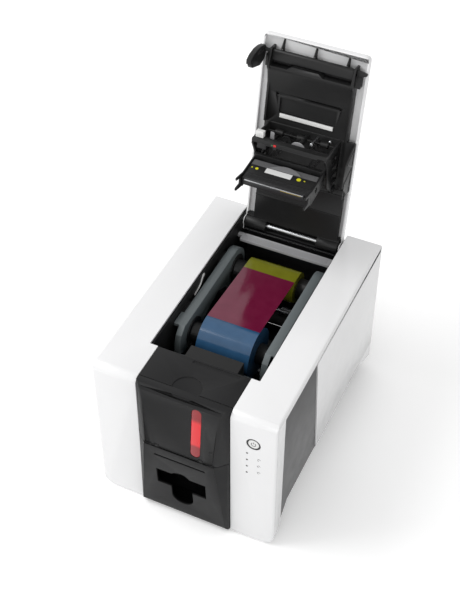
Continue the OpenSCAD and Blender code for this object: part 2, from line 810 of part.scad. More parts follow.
module lid_frame() {
    rib_outline = [[latch_y - 4.5, lid_under], [latch_y - 4.5, latch_z - 4], [ledge_y - 4, ledge_z - 2],
        [ledge_y, ledge_z - 2], [supply_y - 26, rib_z], [plate_end, rib_z], [plate_end, lid_under]];
    housing_outline = [[plate_end, lid_under], [plate_end, spool_z - 16],
        [head_axis_y - 8, spool_z - 18], [head_axis_y + 6, spool_z - 8], [head_axis_y + 30, spool_z - 2],
        [housing_end + 2, hinge_z - 10], [housing_end + 2, lid_under]];
    wing_outline = [[plate_end, lid_skirt_z - 0.2], [plate_end + 2, lid_skirt_z - 8],
        [head_axis_y + 2, spool_z + 3], [head_axis_y + 26, spool_z + 1], [housing_end, lid_skirt_z - 10],
        [housing_end, lid_skirt_z - 0.2]];
    color(black) on_lid() difference() {
        union() {
            inner_plate();
            both_sides() along_x(lid_frame_x - rib_t, lid_frame_x) polygon(rib_outline);
            both_sides() block(lid_frame_x - eps, lid_frame_x + 5.2, latch_y + 4.5, ledge_y + 2, latch_z, lid_under);
            // Three gussets that stiffen the white tip
            for (x = [-gusset_x, 0, gusset_x])
                along_x(x - gusset_t / 2, x + gusset_t / 2) polygon([
                    [lid_tip_y + 3.5, lid_under - 0.8], [lid_tip_y + 3.5, lid_under], [trough_y + 1, lid_under],
                    [trough_y + 1, lid_under - 3], [latch_y - 3.7, lid_under - 3], [latch_y - 3.7, latch_z - 1],
                    [latch_y - 4.4, latch_z - 1]]);
            // Housing of the print head, with a cross rail at its lower front
            both_sides() along_x(housing_x - housing_t, housing_x) polygon(housing_outline);
            block(-housing_x, housing_x, plate_end, plate_end + 4, spool_z - 18, spool_z - 9);
            block(-housing_x, housing_x, plate_end, housing_end, lid_skirt_z - 3.2, lid_skirt_z - 0.2);
            // Side wing that drops between the cassette and the right frame
            along_x(wing_x - wing_t, wing_x) polygon(wing_outline);
            block(housing_x - eps, wing_x, plate_end, housing_end, lid_skirt_z - 3, lid_skirt_z - 0.2);
            both_sides() block(housing_x - eps, lid_frame_x, plate_end, housing_end, lid_skirt_z - 1, lid_under);
            // Rear plate down to the hinge, with two ribs and an apron behind the hinge rod
            block(-lid_frame_x, rear_plate_x, housing_end, hinge_y - 7.5, hinge_z - 1.4, lid_skirt_z - 0.2);
            both_sides() block(lid_frame_x - rib_t, lid_frame_x, head_axis_y + 40, hinge_y - 2, hinge_z - 1.4,
                lid_under);
            for (y = [head_axis_y + 50, head_axis_y + 76])
                block(-lid_frame_x, rear_plate_x, y, y + 2, rail_top + 1, hinge_z - 1.3);
            along_x(-barrel_in - eps, barrel_in + eps) difference() {
                translate([hinge_y, hinge_z]) circle(apron_r);
                translate([hinge_y, hinge_z]) circle(apron_r - apron_t);
                translate([hinge_y - 10, hinge_z - 11.4]) square([20, 10]);
            }
            // Hinge barrels
            both_sides() bar_x(lid_barrel_r, barrel_in, barrel_out, hinge_y, hinge_z);
            both_sides() block(barrel_in, barrel_out, hinge_y - 9, hinge_y, hinge_z - 1.4, lid_under - 0.1);
        }
        bar_x(hinge_r + run_gap, -lid_x, lid_x, hinge_y, hinge_z);
        // Shallow window pocket in the plate, and two screw holes
        block(-32, 32, supply_y + 1, strip_y - 0.5, plate_z - cut, plate_z + plate_t - 1);
        for (x = [-36, 36])
            translate([x, slope_end + 2, plate_z - cut]) cylinder(r = 1.6, h = plate_t);
        bar_x(latch_pin_r + run_gap, -lid_frame_x - cut, lid_frame_x + cut, latch_y, latch_z);
        bar_x(2 + run_gap, -housing_x - cut, housing_x + cut, head_axis_y, head_axis_z);
        // Slots that lighten the side walls
        both_sides() for (i = [0:2])
            along_x(housing_x - housing_t - cut, housing_x + cut)
                translate([head_axis_y + 10 + i * 11, lid_skirt_z - 22 + i * 3]) square([7, 12]);
    }
}

// Bar that snaps the shut cover to the body, with a double hook on the left and a finger end on the right
module latch_bar() {
    bar_half = lid_frame_x - 3;
    blade_l = 8.5;
    hook_x = frame_x - 0.6;
    hook_t = 5.4;
    hook = [[-1, 1.8], [-5.5, -1.6], [-7.5, -11.6], [-7.5, -22.6], [-5, -32.6], [-1, -39.1], [4, -38.6],
        [2, -33.1], [6, -35.1], [9.5, -32.6], [14, -11.6], [10, -1.6], [4, 1.8]];
    hook_slot = [[-3, -6], [1, -5], [0, -19], [-4, -18]];
    color(black) on_lid() {
        bar_x(latch_bar_r, -bar_half, bar_half, latch_y, latch_z);
        block(-bar_half, bar_half, latch_y, latch_y + blade_l, latch_z - latch_bar_r, latch_z - latch_bar_r + 1.6);
        bar_x(latch_pin_r, -hook_x + 1, lid_frame_x + 2, latch_y, latch_z);
        along_x(-hook_x, -hook_x + hook_t) translate([latch_y, latch_z]) difference() {
            polygon(hook);
            polygon(hook_slot);
        }
        translate([0, latch_y, latch_z - latch_pin_r]) linear_extrude(2 * latch_pin_r - 0.4)
            polygon([[lid_frame_x + 1, -3], [hook_x, -0.5], [hook_x, 1.5], [lid_frame_x + 4, 3.8],
                [lid_frame_x + 1, 3.8]]);
    }
}

// Bright strip across the window pocket
module lid_strip() {
    color(silver) on_lid()
        block(-film_x, film_x, strip_y, strip_y + strip_w, plate_z - 1.7, plate_z);
}

// Small circuit board with a white plug, on the cross rail
module sensor_board() {
    color(board_green) on_lid() {
        block(-32, 32, head_axis_y - 9.8, head_axis_y - 8.4, spool_z - 17, spool_z - 5);
        block(-37, -27, head_axis_y - 8.5, head_axis_y - 2, spool_z - 14, spool_z - 6);
        block(-18, -14.5, head_axis_y - 8.5, head_axis_y - 6, spool_z - 17, spool_z + 2);
    }
}

// Half disc on a stem, which stands in front of the cross rail
cap_x = 4.3;
cap_y = head_axis_y - 5.6;
cap_z = lid_skirt_z - 33.6;
cap_r = 8.7;
cap_t = 1.6;

module round_cap() {
    color(grey) on_lid() {
        difference() {
            translate([cap_x, cap_y, cap_z]) cylinder(r = cap_r, h = cap_t);
            block(cap_x - cap_r, cap_x + cap_r, cap_y, cap_y + cap_r, cap_z - cut, cap_z + cap_t + cut);
        }
        translate([cap_x, cap_y - 3.2, cap_z + cap_t - 0.1]) cylinder(r = 2.5, h = lid_skirt_z - 3.2 - cap_z - cap_t + 0.1);
    }
}

// Print head and its bracket, which float on a pivot
module on_head() {
    on_lid() translate([0, head_foot_y, head_foot_z]) rotate([head_lean, 0, 0]) children();
}

head_top = 36;
head_t = 9;
back_t = 4;
bracket_top = head_top + 6;
edge_half = 34;
edge_t = 4;
cheek_in = head_x + 0.2;
cheek_out = head_x + 2;
fork_z = head_foot_z + 1;
fork_foot = roller_z + 1.5;

module head_bracket() {
    color(black) {
        on_head() {
            block(-head_x, head_x, head_t, head_t + back_t, 8, bracket_top);
            block(-head_x - 0.3, head_x + 0.3, -6, head_t + back_t, bracket_top - 4, bracket_top);
            both_sides() difference() {
                block(cheek_in, cheek_out, -2, head_t + 5, 6, bracket_top);
                translate([0, 5, 22]) rotate([0, 90, 0]) cylinder(r = 3, h = 60);
            }
            both_sides() block(head_x, head_x + 0.3, head_t, head_t + back_t, 8, bracket_top);
        }
        on_lid() {
            // Arms up to the pivot, and forks that straddle the platen's shaft
            both_sides() along_x(cheek_in, cheek_out) polygon([
                [head_axis_y - 5, head_axis_z - 2], [head_axis_y - 3.5, head_axis_z + 4], [head_axis_y + 3.5, head_axis_z + 4],
                [head_axis_y + 5, head_axis_z - 2], [platen_y + 2, head_foot_z + 36], [platen_y - 8, head_foot_z + 36]]);
            both_sides() along_x(cheek_in, cheek_out) polygon([
                [platen_y - 7.5, fork_foot], [platen_y - 4.5, fork_foot], [platen_y - 3.4, fork_z],
                [platen_y + 3.4, fork_z], [platen_y + 4.5, fork_foot], [platen_y + 7.5, fork_foot],
                [platen_y + 9, head_foot_z + 14], [platen_y - 6, head_foot_z + 14]]);
            bar_x(2, -housing_x - 1, housing_x + 1, head_axis_y, head_axis_z);
            // Seats for the two springs
            for (x = [-spring_x, spring_x])
                translate([x, head_axis_y + spring_y, spring_seat - 5]) cylinder(r = 4.5, h = 5);
        }
    }
}

module print_head() {
    color(charcoal) on_head() difference() {
        block(-head_x, head_x, 0, head_t, edge_t, head_top);
        block(-head_x + 3, head_x - 3, -cut, 0.4, 8, head_top - 6);
    }
}

module head_edge() {
    color(silver) on_head() block(-edge_half, edge_half, -1.2, edge_t, 0, edge_t);
}

// Coil springs that press the head down: one unbroken tube of six-sided section
spring_r = 3.4;
spring_wire = 0.5;
spring_curls = 8;
spring_x = 22;
spring_y = 9;
spring_seat = head_foot_z + head_top + 5.6;
spring_foot = spring_seat + 0.3;
spring_top = lid_skirt_z - 3.2;
curl_rings = 8;
tube_sides = 6;

function spring_ring(i) =
    let (steps = spring_curls * curl_rings, t = i / steps, a = 360 * i / curl_rings,
        z = spring_foot + spring_wire + t * (spring_top - spring_foot - 2 * spring_wire))
    [for (k = [0:tube_sides - 1]) let (b = 360 * k / tube_sides, r = spring_r + spring_wire * cos(b))
        [r * cos(a), r * sin(a), z + spring_wire * sin(b)]];

// Least gap between one curl and the next
spring_rise = (spring_top - spring_foot - 2 * spring_wire) / spring_curls;
echo(spring_gap = spring_rise - 2 * spring_wire);

module coil_spring() {
    rings = spring_curls * curl_rings;
    points = [for (i = [0:rings]) each spring_ring(i)];
    sides = [for (i = [0:rings - 1], k = [0:tube_sides - 1])
        let (a = i * tube_sides + k, b = i * tube_sides + (k + 1) % tube_sides) each
        [[a, a + tube_sides, b + tube_sides], [a, b + tube_sides, b]]];
    foot_cap = [for (k = [1:tube_sides - 2]) [0, k, k + 1]];
    top_cap = [for (k = [1:tube_sides - 2])
        [rings * tube_sides, rings * tube_sides + k + 1, rings * tube_sides + k]];
    polyhedron(points = points, faces = concat(sides, foot_cap, top_cap));
}

module head_springs() {
    color(silver) on_lid() for (x = [-spring_x, spring_x])
        translate([x, head_axis_y + spring_y, 0]) coil_spring();
}

module lid_hinge_rod() {
    color(silver) bar_x(hinge_r, -frame_out - 1.5, frame_out + 1.5, hinge_y, hinge_z);
}

// Guides beside the card's path, held by two cross bars
module card_guides() {
    color(charcoal) {
        both_sides() difference() {
            block(30.6, 34.6, cleaning_y - 6, rear_roller_y + 14, path_z - 3, path_z + 1.2);
            block(30, 32, cleaning_y - 7, rear_roller_y + 15, path_z, path_z + 2);
        }
        for (y = [(cleaning_y + front_roller_y) / 2, rear_roller_y + 11])
            bar_x(2, -frame_x, frame_x, y, path_z - 4.5);
    }
}

// Card transport
module roller(y, from, to) {
    color(charcoal) {
        bar_x(roller_r, from, to, y, roller_z);
        bar_x(shaft_r, -pulley_x1 - 1, frame_out + 1.5, y, roller_z);
        difference() {
            bar_x(pulley_r, -pulley_x1, -pulley_x0, y, roller_z);
            bar_x(shaft_r - eps, -pulley_x1 - cut, -pulley_x0 + cut, y, roller_z);
        }
    }
}

module feed_roller() roller(feed_y, -20, 20);
module cleaning_roller() roller(cleaning_y, -card_w / 2, card_w / 2);
module front_drive_roller() roller(front_roller_y, -card_w / 2, card_w / 2);
module platen_roller() roller(platen_y, -30, 30);
module rear_drive_roller() roller(rear_roller_y, -card_w / 2, card_w / 2);

module pinch_roller(y) {
    color(silver) {
        both_sides() bar_x(pinch_r, 10, card_w / 2 - 2, y, pinch_z);
        bar_x(pinch_shaft_r, -frame_out - 1, frame_out + 1, y, pinch_z);
    }
}

module front_pinch_roller() pinch_roller(front_roller_y);
module rear_pinch_roller() pinch_roller(rear_roller_y);

module drive_motor() {
    color(charcoal) difference() {
        block(-frame_x + 0.1, -frame_x + 34, motor_y - motor_size / 2, motor_y + motor_size / 2,
            motor_z - motor_size / 2, motor_z + motor_size / 2);
        bar_x(motor_shaft_r + run_gap, -frame_x - cut, -frame_x + 24, motor_y, motor_z);
    }
}

motor_pulley_r = 8;

module motor_pulley() {
    color(silver) {
        bar_x(motor_pulley_r, -pulley_x1, -pulley_x0, motor_y, motor_z);
        bar_x(motor_shaft_r, -pulley_x1 - 1, -frame_x + 22, motor_y, motor_z);
    }
}

// Belt round the motor pulley and the first and last roller pulleys
module belt_loop(grow) {
    hull() {
        translate([motor_y, motor_z]) circle(motor_pulley_r + grow, $fn = 48);
        translate([feed_y, roller_z]) circle(pulley_r + grow, $fn = 48);
        translate([rear_roller_y, roller_z]) circle(pulley_r + grow, $fn = 48);
    }
}

module drive_belt() {
    color(black) along_x(-pulley_x1 + 1, -pulley_x0 - 1) difference() {
        belt_loop(1.7);
        belt_loop(0.3);
    }
}

module ribbon_motor() {
    color(silver) difference() {
        union() {
            block(frame_out + 0.1, frame_out + 6, takeup_y - 16, takeup_y + 16, spool_z - 16, spool_z + 16);
            bar_x(13, frame_out + 5, side_x - cover_wall - 4, takeup_y, spool_z);
        }
        bar_x(spool_shaft_r + run_gap, frame_out - cut, frame_out + 8, takeup_y, spool_z);
    }
}

// Electronics
board_x = frame_out + 8;
board_t = 1.6;
post_r = 2.5;
on_board = board_x + board_t - 0.1;
main_front = front_y + 46;
main_rear = platen_y + 40;
main_foot = 20;
main_top = 86;

// Board with a chip, a row of plugs and four capacitors
module main_board() {
    color(board_green) {
        block(board_x, board_x + board_t, main_front, main_rear, main_foot, main_top);
        for (y = [main_front + 6, main_rear - 8], z = [main_foot + 6, main_top - 6])
            bar_x(post_r, frame_out, board_x, y, z);
        block(on_board, board_x + 6, supply_y - 10, supply_y + 12, main_foot + 24, main_top - 20);
        block(on_board, board_x + 10, platen_y, main_rear - 6, main_foot + 4, main_foot + 14);
        for (i = [0:3])
            bar_x(4, on_board, board_x + 12, main_front + 10 + i * 11, main_top - 14);
    }
}

supply_board_x = board_x + 12.4;
supply_board_y = rear_y - 34;
supply_board_z = arch_h + 36;
supply_board_h = 74;

module power_board() {
    color(board_green) {
        block(-supply_board_x - board_t, -supply_board_x, supply_board_y, supply_board_y + 28,
            supply_board_z, supply_board_z + supply_board_h);
        for (z = [supply_board_z + 8, supply_board_z + supply_board_h - 8])
            bar_x(post_r, -supply_board_x, -frame_out, supply_board_y + 20, z);
        block(-supply_board_x - 0.1, -board_x, supply_board_y + 2, supply_board_y + 18,
            supply_board_z + 18, supply_board_z + 42);
    }
}

module power_inlet() {
    color(black) difference() {
        block(inlet_x - 14, inlet_x + 14, rear_y - 22, rear_y + 0.6, socket_z - 10, socket_z + 10);
        block(inlet_x - 11, inlet_x + 11, rear_y - 14, rear_y + cut, socket_z - 7, socket_z + 7);
    }
    color(silver) for (x = [-6, 0, 6])
        block(inlet_x + x - 0.8, inlet_x + x + 0.8, rear_y - 15, rear_y - 3, socket_z - 2, socket_z + 2);
}

module data_ports() {
    color(silver) difference() {
        block(ports_x - 22, ports_x + 22, rear_y - 20, rear_y + 0.6, socket_z - 8, socket_z + 8);
        block(ports_x - 19, ports_x - 3, rear_y - 14, rear_y + cut, socket_z - 6, socket_z + 6);
        block(ports_x + 4, ports_x + 16, rear_y - 14, rear_y + cut, socket_z - 5, socket_z + 5);
    }
}

module control_board() {
    color(board_green) block(frame_out + 2, side_x - cover_wall - 3, front_y + 6.4, front_y + 8, button_z - 60, button_z + 16);
    color(board_green) for (z = [button_z - 54, button_z + 12])
        along_y(front_y + cover_wall + 0.1, front_y + 6.5) translate([side_x - 10, z]) circle(2.5);
}

module status_lights() {
    color(silver) for (i = [0:3])
        along_y(front_y, front_y + 6.3) translate([light_x, light_z - i * light_step]) circle(1.1);
}

module button_ring() {
    color(silver) along_y(front_y, front_y + 6.3) translate([button_x, button_z]) difference() {
        circle(ring_r);
        circle(button_r + 0.15);
    }
}

module power_button() {
    color(white) along_y(front_y, front_y + 6.3 - button_travel) translate([button_x, button_z]) circle(button_r);
}

base_tray();
rubber_feet();
left_frame();
right_frame();
left_cover();
right_cover();
left_rear_side_panel();
right_rear_side_panel();
left_front_side_panel();
right_front_side_panel();
rear_panel();
top_panel();
front_panel();
door_hinge_rod();
card_hopper();
output_tray();
lid_hinge_rod();
rear_guide_bar();
card_guides();
cassette_rail_left();
cassette_rail_right();
cassette_ties();
ribbon_web();
side_clip();
drive_motor();
drive_belt();
ribbon_motor();
main_board();
power_board();
power_inlet();
data_ports();
control_board();
status_lights();
case_screws();
feeder_door();
door_window();
power_button();
button_ring();
lid_shell();
lid_frame();
lid_strip();
sensor_board();
round_cap();
latch_bar();
head_bracket();
print_head();
head_edge();
head_springs();
motor_pulley();
feed_roller();
cleaning_roller();
front_drive_roller();
platen_roller();
rear_drive_roller();
front_pinch_roller();
rear_pinch_roller();
supply_core();
supply_film();
takeup_core();
takeup_film();
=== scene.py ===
# %% [markdown]
# # A desktop printer for plastic identity cards
# The printer stands with its top cover swung open, so that one looks into the bay where
# the colour ribbon sits. Its construction, with every shaft and hinge, comes packed as a
# fixed frame. This lesson dresses that frame: it rounds the edges that moulding rounds,
# builds the soft and small things that the frame leaves plain, and gives each surface its
# own finish. Everything is in metres and nothing of the frame is moved.

# %% Load the fixed frame
import json
import math

import bmesh
import bpy
from mathutils import Matrix, Vector

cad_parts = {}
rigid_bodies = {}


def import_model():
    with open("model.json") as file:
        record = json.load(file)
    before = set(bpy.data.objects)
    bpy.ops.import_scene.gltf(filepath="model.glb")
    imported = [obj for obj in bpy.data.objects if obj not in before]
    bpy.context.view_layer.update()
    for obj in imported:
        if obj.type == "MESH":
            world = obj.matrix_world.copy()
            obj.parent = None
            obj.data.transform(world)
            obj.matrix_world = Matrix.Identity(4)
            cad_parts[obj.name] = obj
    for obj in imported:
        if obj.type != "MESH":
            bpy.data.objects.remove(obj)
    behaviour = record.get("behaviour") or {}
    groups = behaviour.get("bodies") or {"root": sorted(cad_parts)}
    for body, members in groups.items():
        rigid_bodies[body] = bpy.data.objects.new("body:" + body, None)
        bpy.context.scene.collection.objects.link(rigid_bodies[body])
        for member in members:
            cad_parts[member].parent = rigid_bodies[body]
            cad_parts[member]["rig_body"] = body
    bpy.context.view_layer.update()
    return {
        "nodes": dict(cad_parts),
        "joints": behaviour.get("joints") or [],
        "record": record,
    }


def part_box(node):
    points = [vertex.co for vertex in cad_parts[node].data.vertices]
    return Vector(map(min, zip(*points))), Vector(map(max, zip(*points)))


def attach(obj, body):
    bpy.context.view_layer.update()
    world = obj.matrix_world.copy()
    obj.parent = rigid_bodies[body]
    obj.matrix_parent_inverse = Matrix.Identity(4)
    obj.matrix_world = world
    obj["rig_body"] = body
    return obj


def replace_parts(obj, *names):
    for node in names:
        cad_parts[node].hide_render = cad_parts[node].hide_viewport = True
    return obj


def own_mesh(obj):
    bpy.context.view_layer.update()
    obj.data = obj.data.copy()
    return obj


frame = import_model()

# %% [markdown]
# ## The measures that everything hangs on
# A scene that repeats sizes by hand drifts away from the model it dresses. So the few
# driving measures are read from the frame: the outer faces of the right cover, the axis of
# the cover's hinge and the places of the two ribbon spools. The rest is counted from these.

# %% Driving measures
MM = 0.001
BODY_OF = {node: obj["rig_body"] for node, obj in frame["nodes"].items()}
SLOT_OF = {row["node"]: row["material_slot"] for row in frame["record"]["subparts"]}
JOINT = {joint["name"]: joint for joint in frame["joints"]}

cover_low, cover_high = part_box("right_cover")
FRONT = cover_low.y
TOP = cover_high.z
SIDE = cover_high.x


def middle(node):
    """The centre of a node's box."""
    low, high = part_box(node)
    return (low + high) / 2


hinge = Vector(JOINT["lid_hinge"]["pos_m"])
lid_opening = math.radians(JOINT["lid_hinge"]["range_deg"][1])
swing_open = (Matrix.Translation(hinge) @ Matrix.Rotation(-lid_opening, 4, "X")
              @ Matrix.Translation(-hinge))
supply, takeup = middle("supply_core"), middle("takeup_core")

# On the cover: x, the distance from the hinge towards the tip, and the depth below the cover's top
ON_LID = swing_open @ Matrix.Translation((0, hinge.y, TOP)) @ Matrix.Diagonal((1, -1, -1, 1))
# An outline in x and z that is raised towards the front
UPRIGHT = Matrix.Rotation(math.radians(90), 4, "X")
# On the print head, which leans and starts just above the platen roller when the cover is shut
HEAD_LEAN = math.radians(12.7)
HEAD_FOOT = Vector((0, middle("platen_roller").y - 2 * MM, 104.5 * MM))
ON_HEAD = swing_open @ Matrix.Translation(HEAD_FOOT) @ Matrix.Rotation(HEAD_LEAN, 4, "X")
print("covers reach", [round(v / MM, 1) for v in cover_high], "hinge", [round(v / MM, 1) for v in hinge])

# %% [markdown]
# ## The camera
# The printer is seen from in front, a little from its right side and from above. A long
# lens keeps its edges nearly parallel. The place and the lens were fitted to the corners
# of the covers, and the numbers are kept here as plain values.

# %% Camera at the photograph's angle
AZIMUTH = math.radians(25)
ELEVATION = math.radians(45)
view_direction = Vector((-math.sin(AZIMUTH) * math.cos(ELEVATION),
                         math.cos(AZIMUTH) * math.cos(ELEVATION), -math.sin(ELEVATION)))
camera = bpy.data.objects.new("photo_camera", bpy.data.cameras.new("photo_camera"))
camera.data.lens = 70.88
camera.data.sensor_width = 36
camera.location = (0.369684, -0.839294, 1.092844)
camera.rotation_euler = view_direction.to_track_quat("-Z", "Y").to_euler()
bpy.context.scene.collection.objects.link(camera)
bpy.context.scene.camera = camera
bpy.context.scene.view_settings.view_transform = "Standard"
print("camera looks along", [round(v, 3) for v in view_direction])

# %% [markdown]
# ## Shader maths
# A finish is a small sum: a base colour, plus a little cloudiness, times a mask. Written
# with nodes by hand such a sum takes many lines. One class wraps an output socket and
# overloads the arithmetic, so that `0.2 + 0.1 * noise` adds its own Math nodes. Colours
# don't pass through Math, which would turn them grey; they are blended by a Mix node.

# %% Wires and finishes
class Wire:
    """An output socket that can be added to, multiplied by and compared with numbers."""

    def __init__(self, tree, socket):
        self.tree = tree
        self.socket = socket

    def sum_of(self, operation, first, second):
        return self.tree.math(operation, first, second)

    def __add__(self, other):
        return self.sum_of("ADD", self, other)

    def __radd__(self, other):
        return self.sum_of("ADD", other, self)

    def __sub__(self, other):
        return self.sum_of("SUBTRACT", self, other)

    def __rsub__(self, other):
        return self.sum_of("SUBTRACT", other, self)

    def __mul__(self, other):
        return self.sum_of("MULTIPLY", self, other)

    def __rmul__(self, other):
        return self.sum_of("MULTIPLY", other, self)

    def __lt__(self, other):
        return self.sum_of("LESS_THAN", self, other)


class Tree:
    """The tree of nodes of a material or of the sky."""

    def __init__(self, graph):
        self.graph = graph

    def plug(self, socket, value):
        if isinstance(value, Wire):
            self.graph.links.new(value.socket, socket)
        else:
            socket.default_value = value

    def node(self, kind, settings=None, inputs=None, out=0):
        """Any node: its settings first, then the values or wires of its sockets."""
        made = self.graph.nodes.new(kind)
        for key, value in (settings or {}).items():
            setattr(made, key, value)
        for key, value in (inputs or {}).items():
            self.plug(made.inputs[key], value)
        return Wire(self, made.outputs[out])

    def math(self, operation, *values):
        """A Math node on one or two numbers or wires."""
        return self.node("ShaderNodeMath", {"operation": operation}, dict(enumerate(values)))

    def seen(self):
        """1 where the camera, a reflection or a clear part looks, and 0 for other light."""
        rays = [self.node("ShaderNodeLightPath", out=name)
                for name in ("Is Camera Ray", "Is Glossy Ray", "Is Transmission Ray")]
        return self.math("MINIMUM", rays[0] + rays[1] + rays[2], 1.0)


class Finish(Tree):
    """One material and what paints it."""

    def __init__(self, name):
        self.material = bpy.data.materials.new(name)
        self.material.use_nodes = True
        super().__init__(self.material.node_tree)
        self.shader = self.graph.nodes["Principled BSDF"]

    def place(self, stretch=(1, 1, 1)):
        """Where a point lies on the printer, in metres, stretched along the axes."""
        point = self.node("ShaderNodeTexCoord", out=3)
        return self.node("ShaderNodeVectorMath", {"operation": "MULTIPLY"}, {0: point, 1: stretch})

    def along(self, axis):
        """One coordinate of the point, 0 for x, 1 for y and 2 for z."""
        return self.node("ShaderNodeSeparateXYZ", None, {0: self.place()}, out=axis)

    def from_middle(self):
        """How far a point lies from the printer's middle plane, to either side."""
        return self.math("ABSOLUTE", self.along(0))

    def from_axis(self, centre):
        """The distance from the axis that runs along x through a point."""
        across = self.along(1) - centre.y
        above = self.along(2) - centre.z
        return self.math("SQRT", across * across + above * above)

    def noise(self, grain, detail=2, stretch=(1, 1, 1)):
        """Smooth clouds of about one grain's size, in metres."""
        return self.node("ShaderNodeTexNoise", None,
                         {"Vector": self.place(stretch), "Scale": 1 / grain, "Detail": detail})

    def step(self, value, low, high):
        """0 below low, 1 above high and a soft slope between."""
        return self.node("ShaderNodeMapRange", {"interpolation_type": "SMOOTHSTEP"},
                         {"Value": value, "From Min": low, "From Max": high})

    def mix(self, factor, first, second):
        return self.node("ShaderNodeMix", {"data_type": "RGBA"},
                         {0: factor, 6: self.colour(first), 7: self.colour(second)}, out=2)

    @staticmethod
    def colour(value):
        return value if isinstance(value, Wire) else (*value, 1)

    def bump(self, height, depth):
        """A surface raised by up to depth, in metres, where height is 1."""
        return self.node("ShaderNodeBump", None, {"Height": height, "Distance": depth, "Strength": 1.0})

    def surface(self, values):
        for name, value in values.items():
            self.plug(self.shader.inputs[name], value)
        return self.material


# %% [markdown]
# ## Moulded plastics
# The covers are glossy white ABS. Its gloss is never perfect: a mould leaves a faint
# orange-peel ripple, and hands leave cloudy smudges that only show in the reflections. The
# black parts come from a spark-eroded mould, which gives a fine matt grain. Both are built
# the same way, from a colour that clouds a little, a roughness that clouds more, and a
# fine bump at the scale of the real texture, well under a millimetre.

# %% Plastic finishes
# Sizes in metres of the clouds of colour, of the smudges and of the gloss's ripple
CLOUD = 0.09
SMUDGE = 0.018
ORANGE_PEEL = 0.0016
WHITES = ((0.78, 0.78, 0.785), (0.83, 0.83, 0.835))


def moulded(name, dark, light, rough, rough_spread, grain, grain_depth, specular=0.5):
    """Moulded plastic: clouds of colour, clouds of gloss and a fine grain."""
    finish = Finish(name)
    finish.surface({"Specular IOR Level": specular})
    return finish.surface({
        "Base Color": finish.mix(finish.noise(CLOUD, 3), dark, light),
        "Roughness": rough + rough_spread * finish.noise(SMUDGE, 4),
        "Normal": finish.bump(finish.noise(grain, 2), grain_depth),
    })


gloss_white = moulded("gloss_white", *WHITES, 0.12, 0.16, ORANGE_PEEL, 4e-6)
satin_white = moulded("satin_white", (0.74, 0.74, 0.73), (0.80, 0.80, 0.79), 0.30, 0.16, 0.0006, 8e-6)
grained_black = moulded("grained_black", (0.0065, 0.0065, 0.007), (0.0105, 0.0105, 0.011),
                        0.42, 0.16, 0.00035, 2.0e-5, 0.22)
frame_black = moulded("frame_black", (0.006, 0.006, 0.0065), (0.012, 0.012, 0.012),
                      0.34, 0.20, 0.0005, 1.4e-5, 0.30)
side_grey = moulded("side_grey", (0.024, 0.024, 0.0255), (0.031, 0.031, 0.0325),
                    0.26, 0.14, 0.0005, 8e-6, 0.35)
cassette_grey = moulded("cassette_grey", (0.105, 0.122, 0.127), (0.135, 0.155, 0.160),
                        0.34, 0.16, 0.0005, 1.0e-5, 0.4)
light_grey = moulded("light_grey", (0.33, 0.33, 0.34), (0.42, 0.42, 0.43), 0.34, 0.14, 0.0005, 1.0e-5)
charcoal = moulded("charcoal", (0.016, 0.016, 0.017), (0.026, 0.026, 0.027),
                   0.36, 0.18, 0.0005, 1.4e-5, 0.35)
ash_grey = moulded("ash_grey", (0.085, 0.085, 0.088), (0.120, 0.120, 0.122),
                   0.40, 0.16, 0.0005, 1.2e-5, 0.35)
mid_grey = moulded("mid_grey", (0.15, 0.15, 0.155), (0.21, 0.21, 0.215), 0.36, 0.16, 0.0005, 1.2e-5, 0.4)
lamp_dark = moulded("lamp_dark", (0.030, 0.031, 0.033), (0.045, 0.046, 0.048), 0.12, 0.08, 0.0008, 4e-6)
label_white = moulded("label_white", (0.62, 0.62, 0.62), (0.70, 0.70, 0.69), 0.50, 0.20, 0.0007, 6e-6, 0.3)
warm_yellow = moulded("warm_yellow", (0.52, 0.50, 0.010), (0.66, 0.62, 0.020), 0.45, 0.15, 0.0006, 6e-6, 0.3)
amber = moulded("amber_lacquer", (0.24, 0.17, 0.010), (0.34, 0.24, 0.016), 0.35, 0.15, 0.0006, 6e-6, 0.3)
signal_red = moulded("signal_red", (0.60, 0.010, 0.012), (0.72, 0.016, 0.018), 0.25, 0.15, 0.0008, 4e-6)
print("plastics:", len(bpy.data.materials))

# %% [markdown]
# ## Metals, rubber and circuit boards
# Ground steel shows scratches that run one way, so its noise is stretched: narrow across
# the scratches and long beside them. Rubber rollers are nearly black, dull and slightly
# dusty. A circuit board is green lacquer over copper tracks, which show as straight, paler
# lines between the parts.

# %% Metal, rubber and board finishes
def ground_metal(name, dark, light, rough, stretch):
    """Bright metal ground along one axis: stretch is large across the scratches."""
    finish = Finish(name)
    scratch = finish.noise(0.01, 4, stretch)
    return finish.surface({
        "Metallic": 1.0,
        "Base Color": finish.mix(scratch, dark, light),
        "Roughness": rough + 0.22 * scratch,
        "Normal": finish.bump(scratch, 6e-6),
    })


def dull_rubber(name):
    finish = Finish(name)
    dust = finish.noise(0.004, 5)
    return finish.surface({
        "Base Color": finish.mix(dust, (0.010, 0.010, 0.010), (0.028, 0.027, 0.026)),
        "Roughness": 0.62 + 0.3 * dust,
        "Normal": finish.bump(finish.noise(0.0004, 3), 3e-5),
    })


def lacquered_board(name):
    """Green lacquer with straight tracks that run along Y and Z."""
    finish = Finish(name)
    track = finish.node("ShaderNodeTexBrick", None, {
        "Vector": finish.node("ShaderNodeCombineXYZ", None, {0: finish.along(1), 1: finish.along(2)}),
        "Scale": 150.0, "Mortar Size": 0.035, "Mortar Smooth": 0.4}, out=1)
    return finish.surface({
        "Base Color": finish.mix(track, (0.010, 0.085, 0.040), (0.055, 0.200, 0.085)),
        "Roughness": 0.24 + 0.2 * finish.noise(0.003, 3),
        "Normal": finish.bump(track, 3e-5),
    })


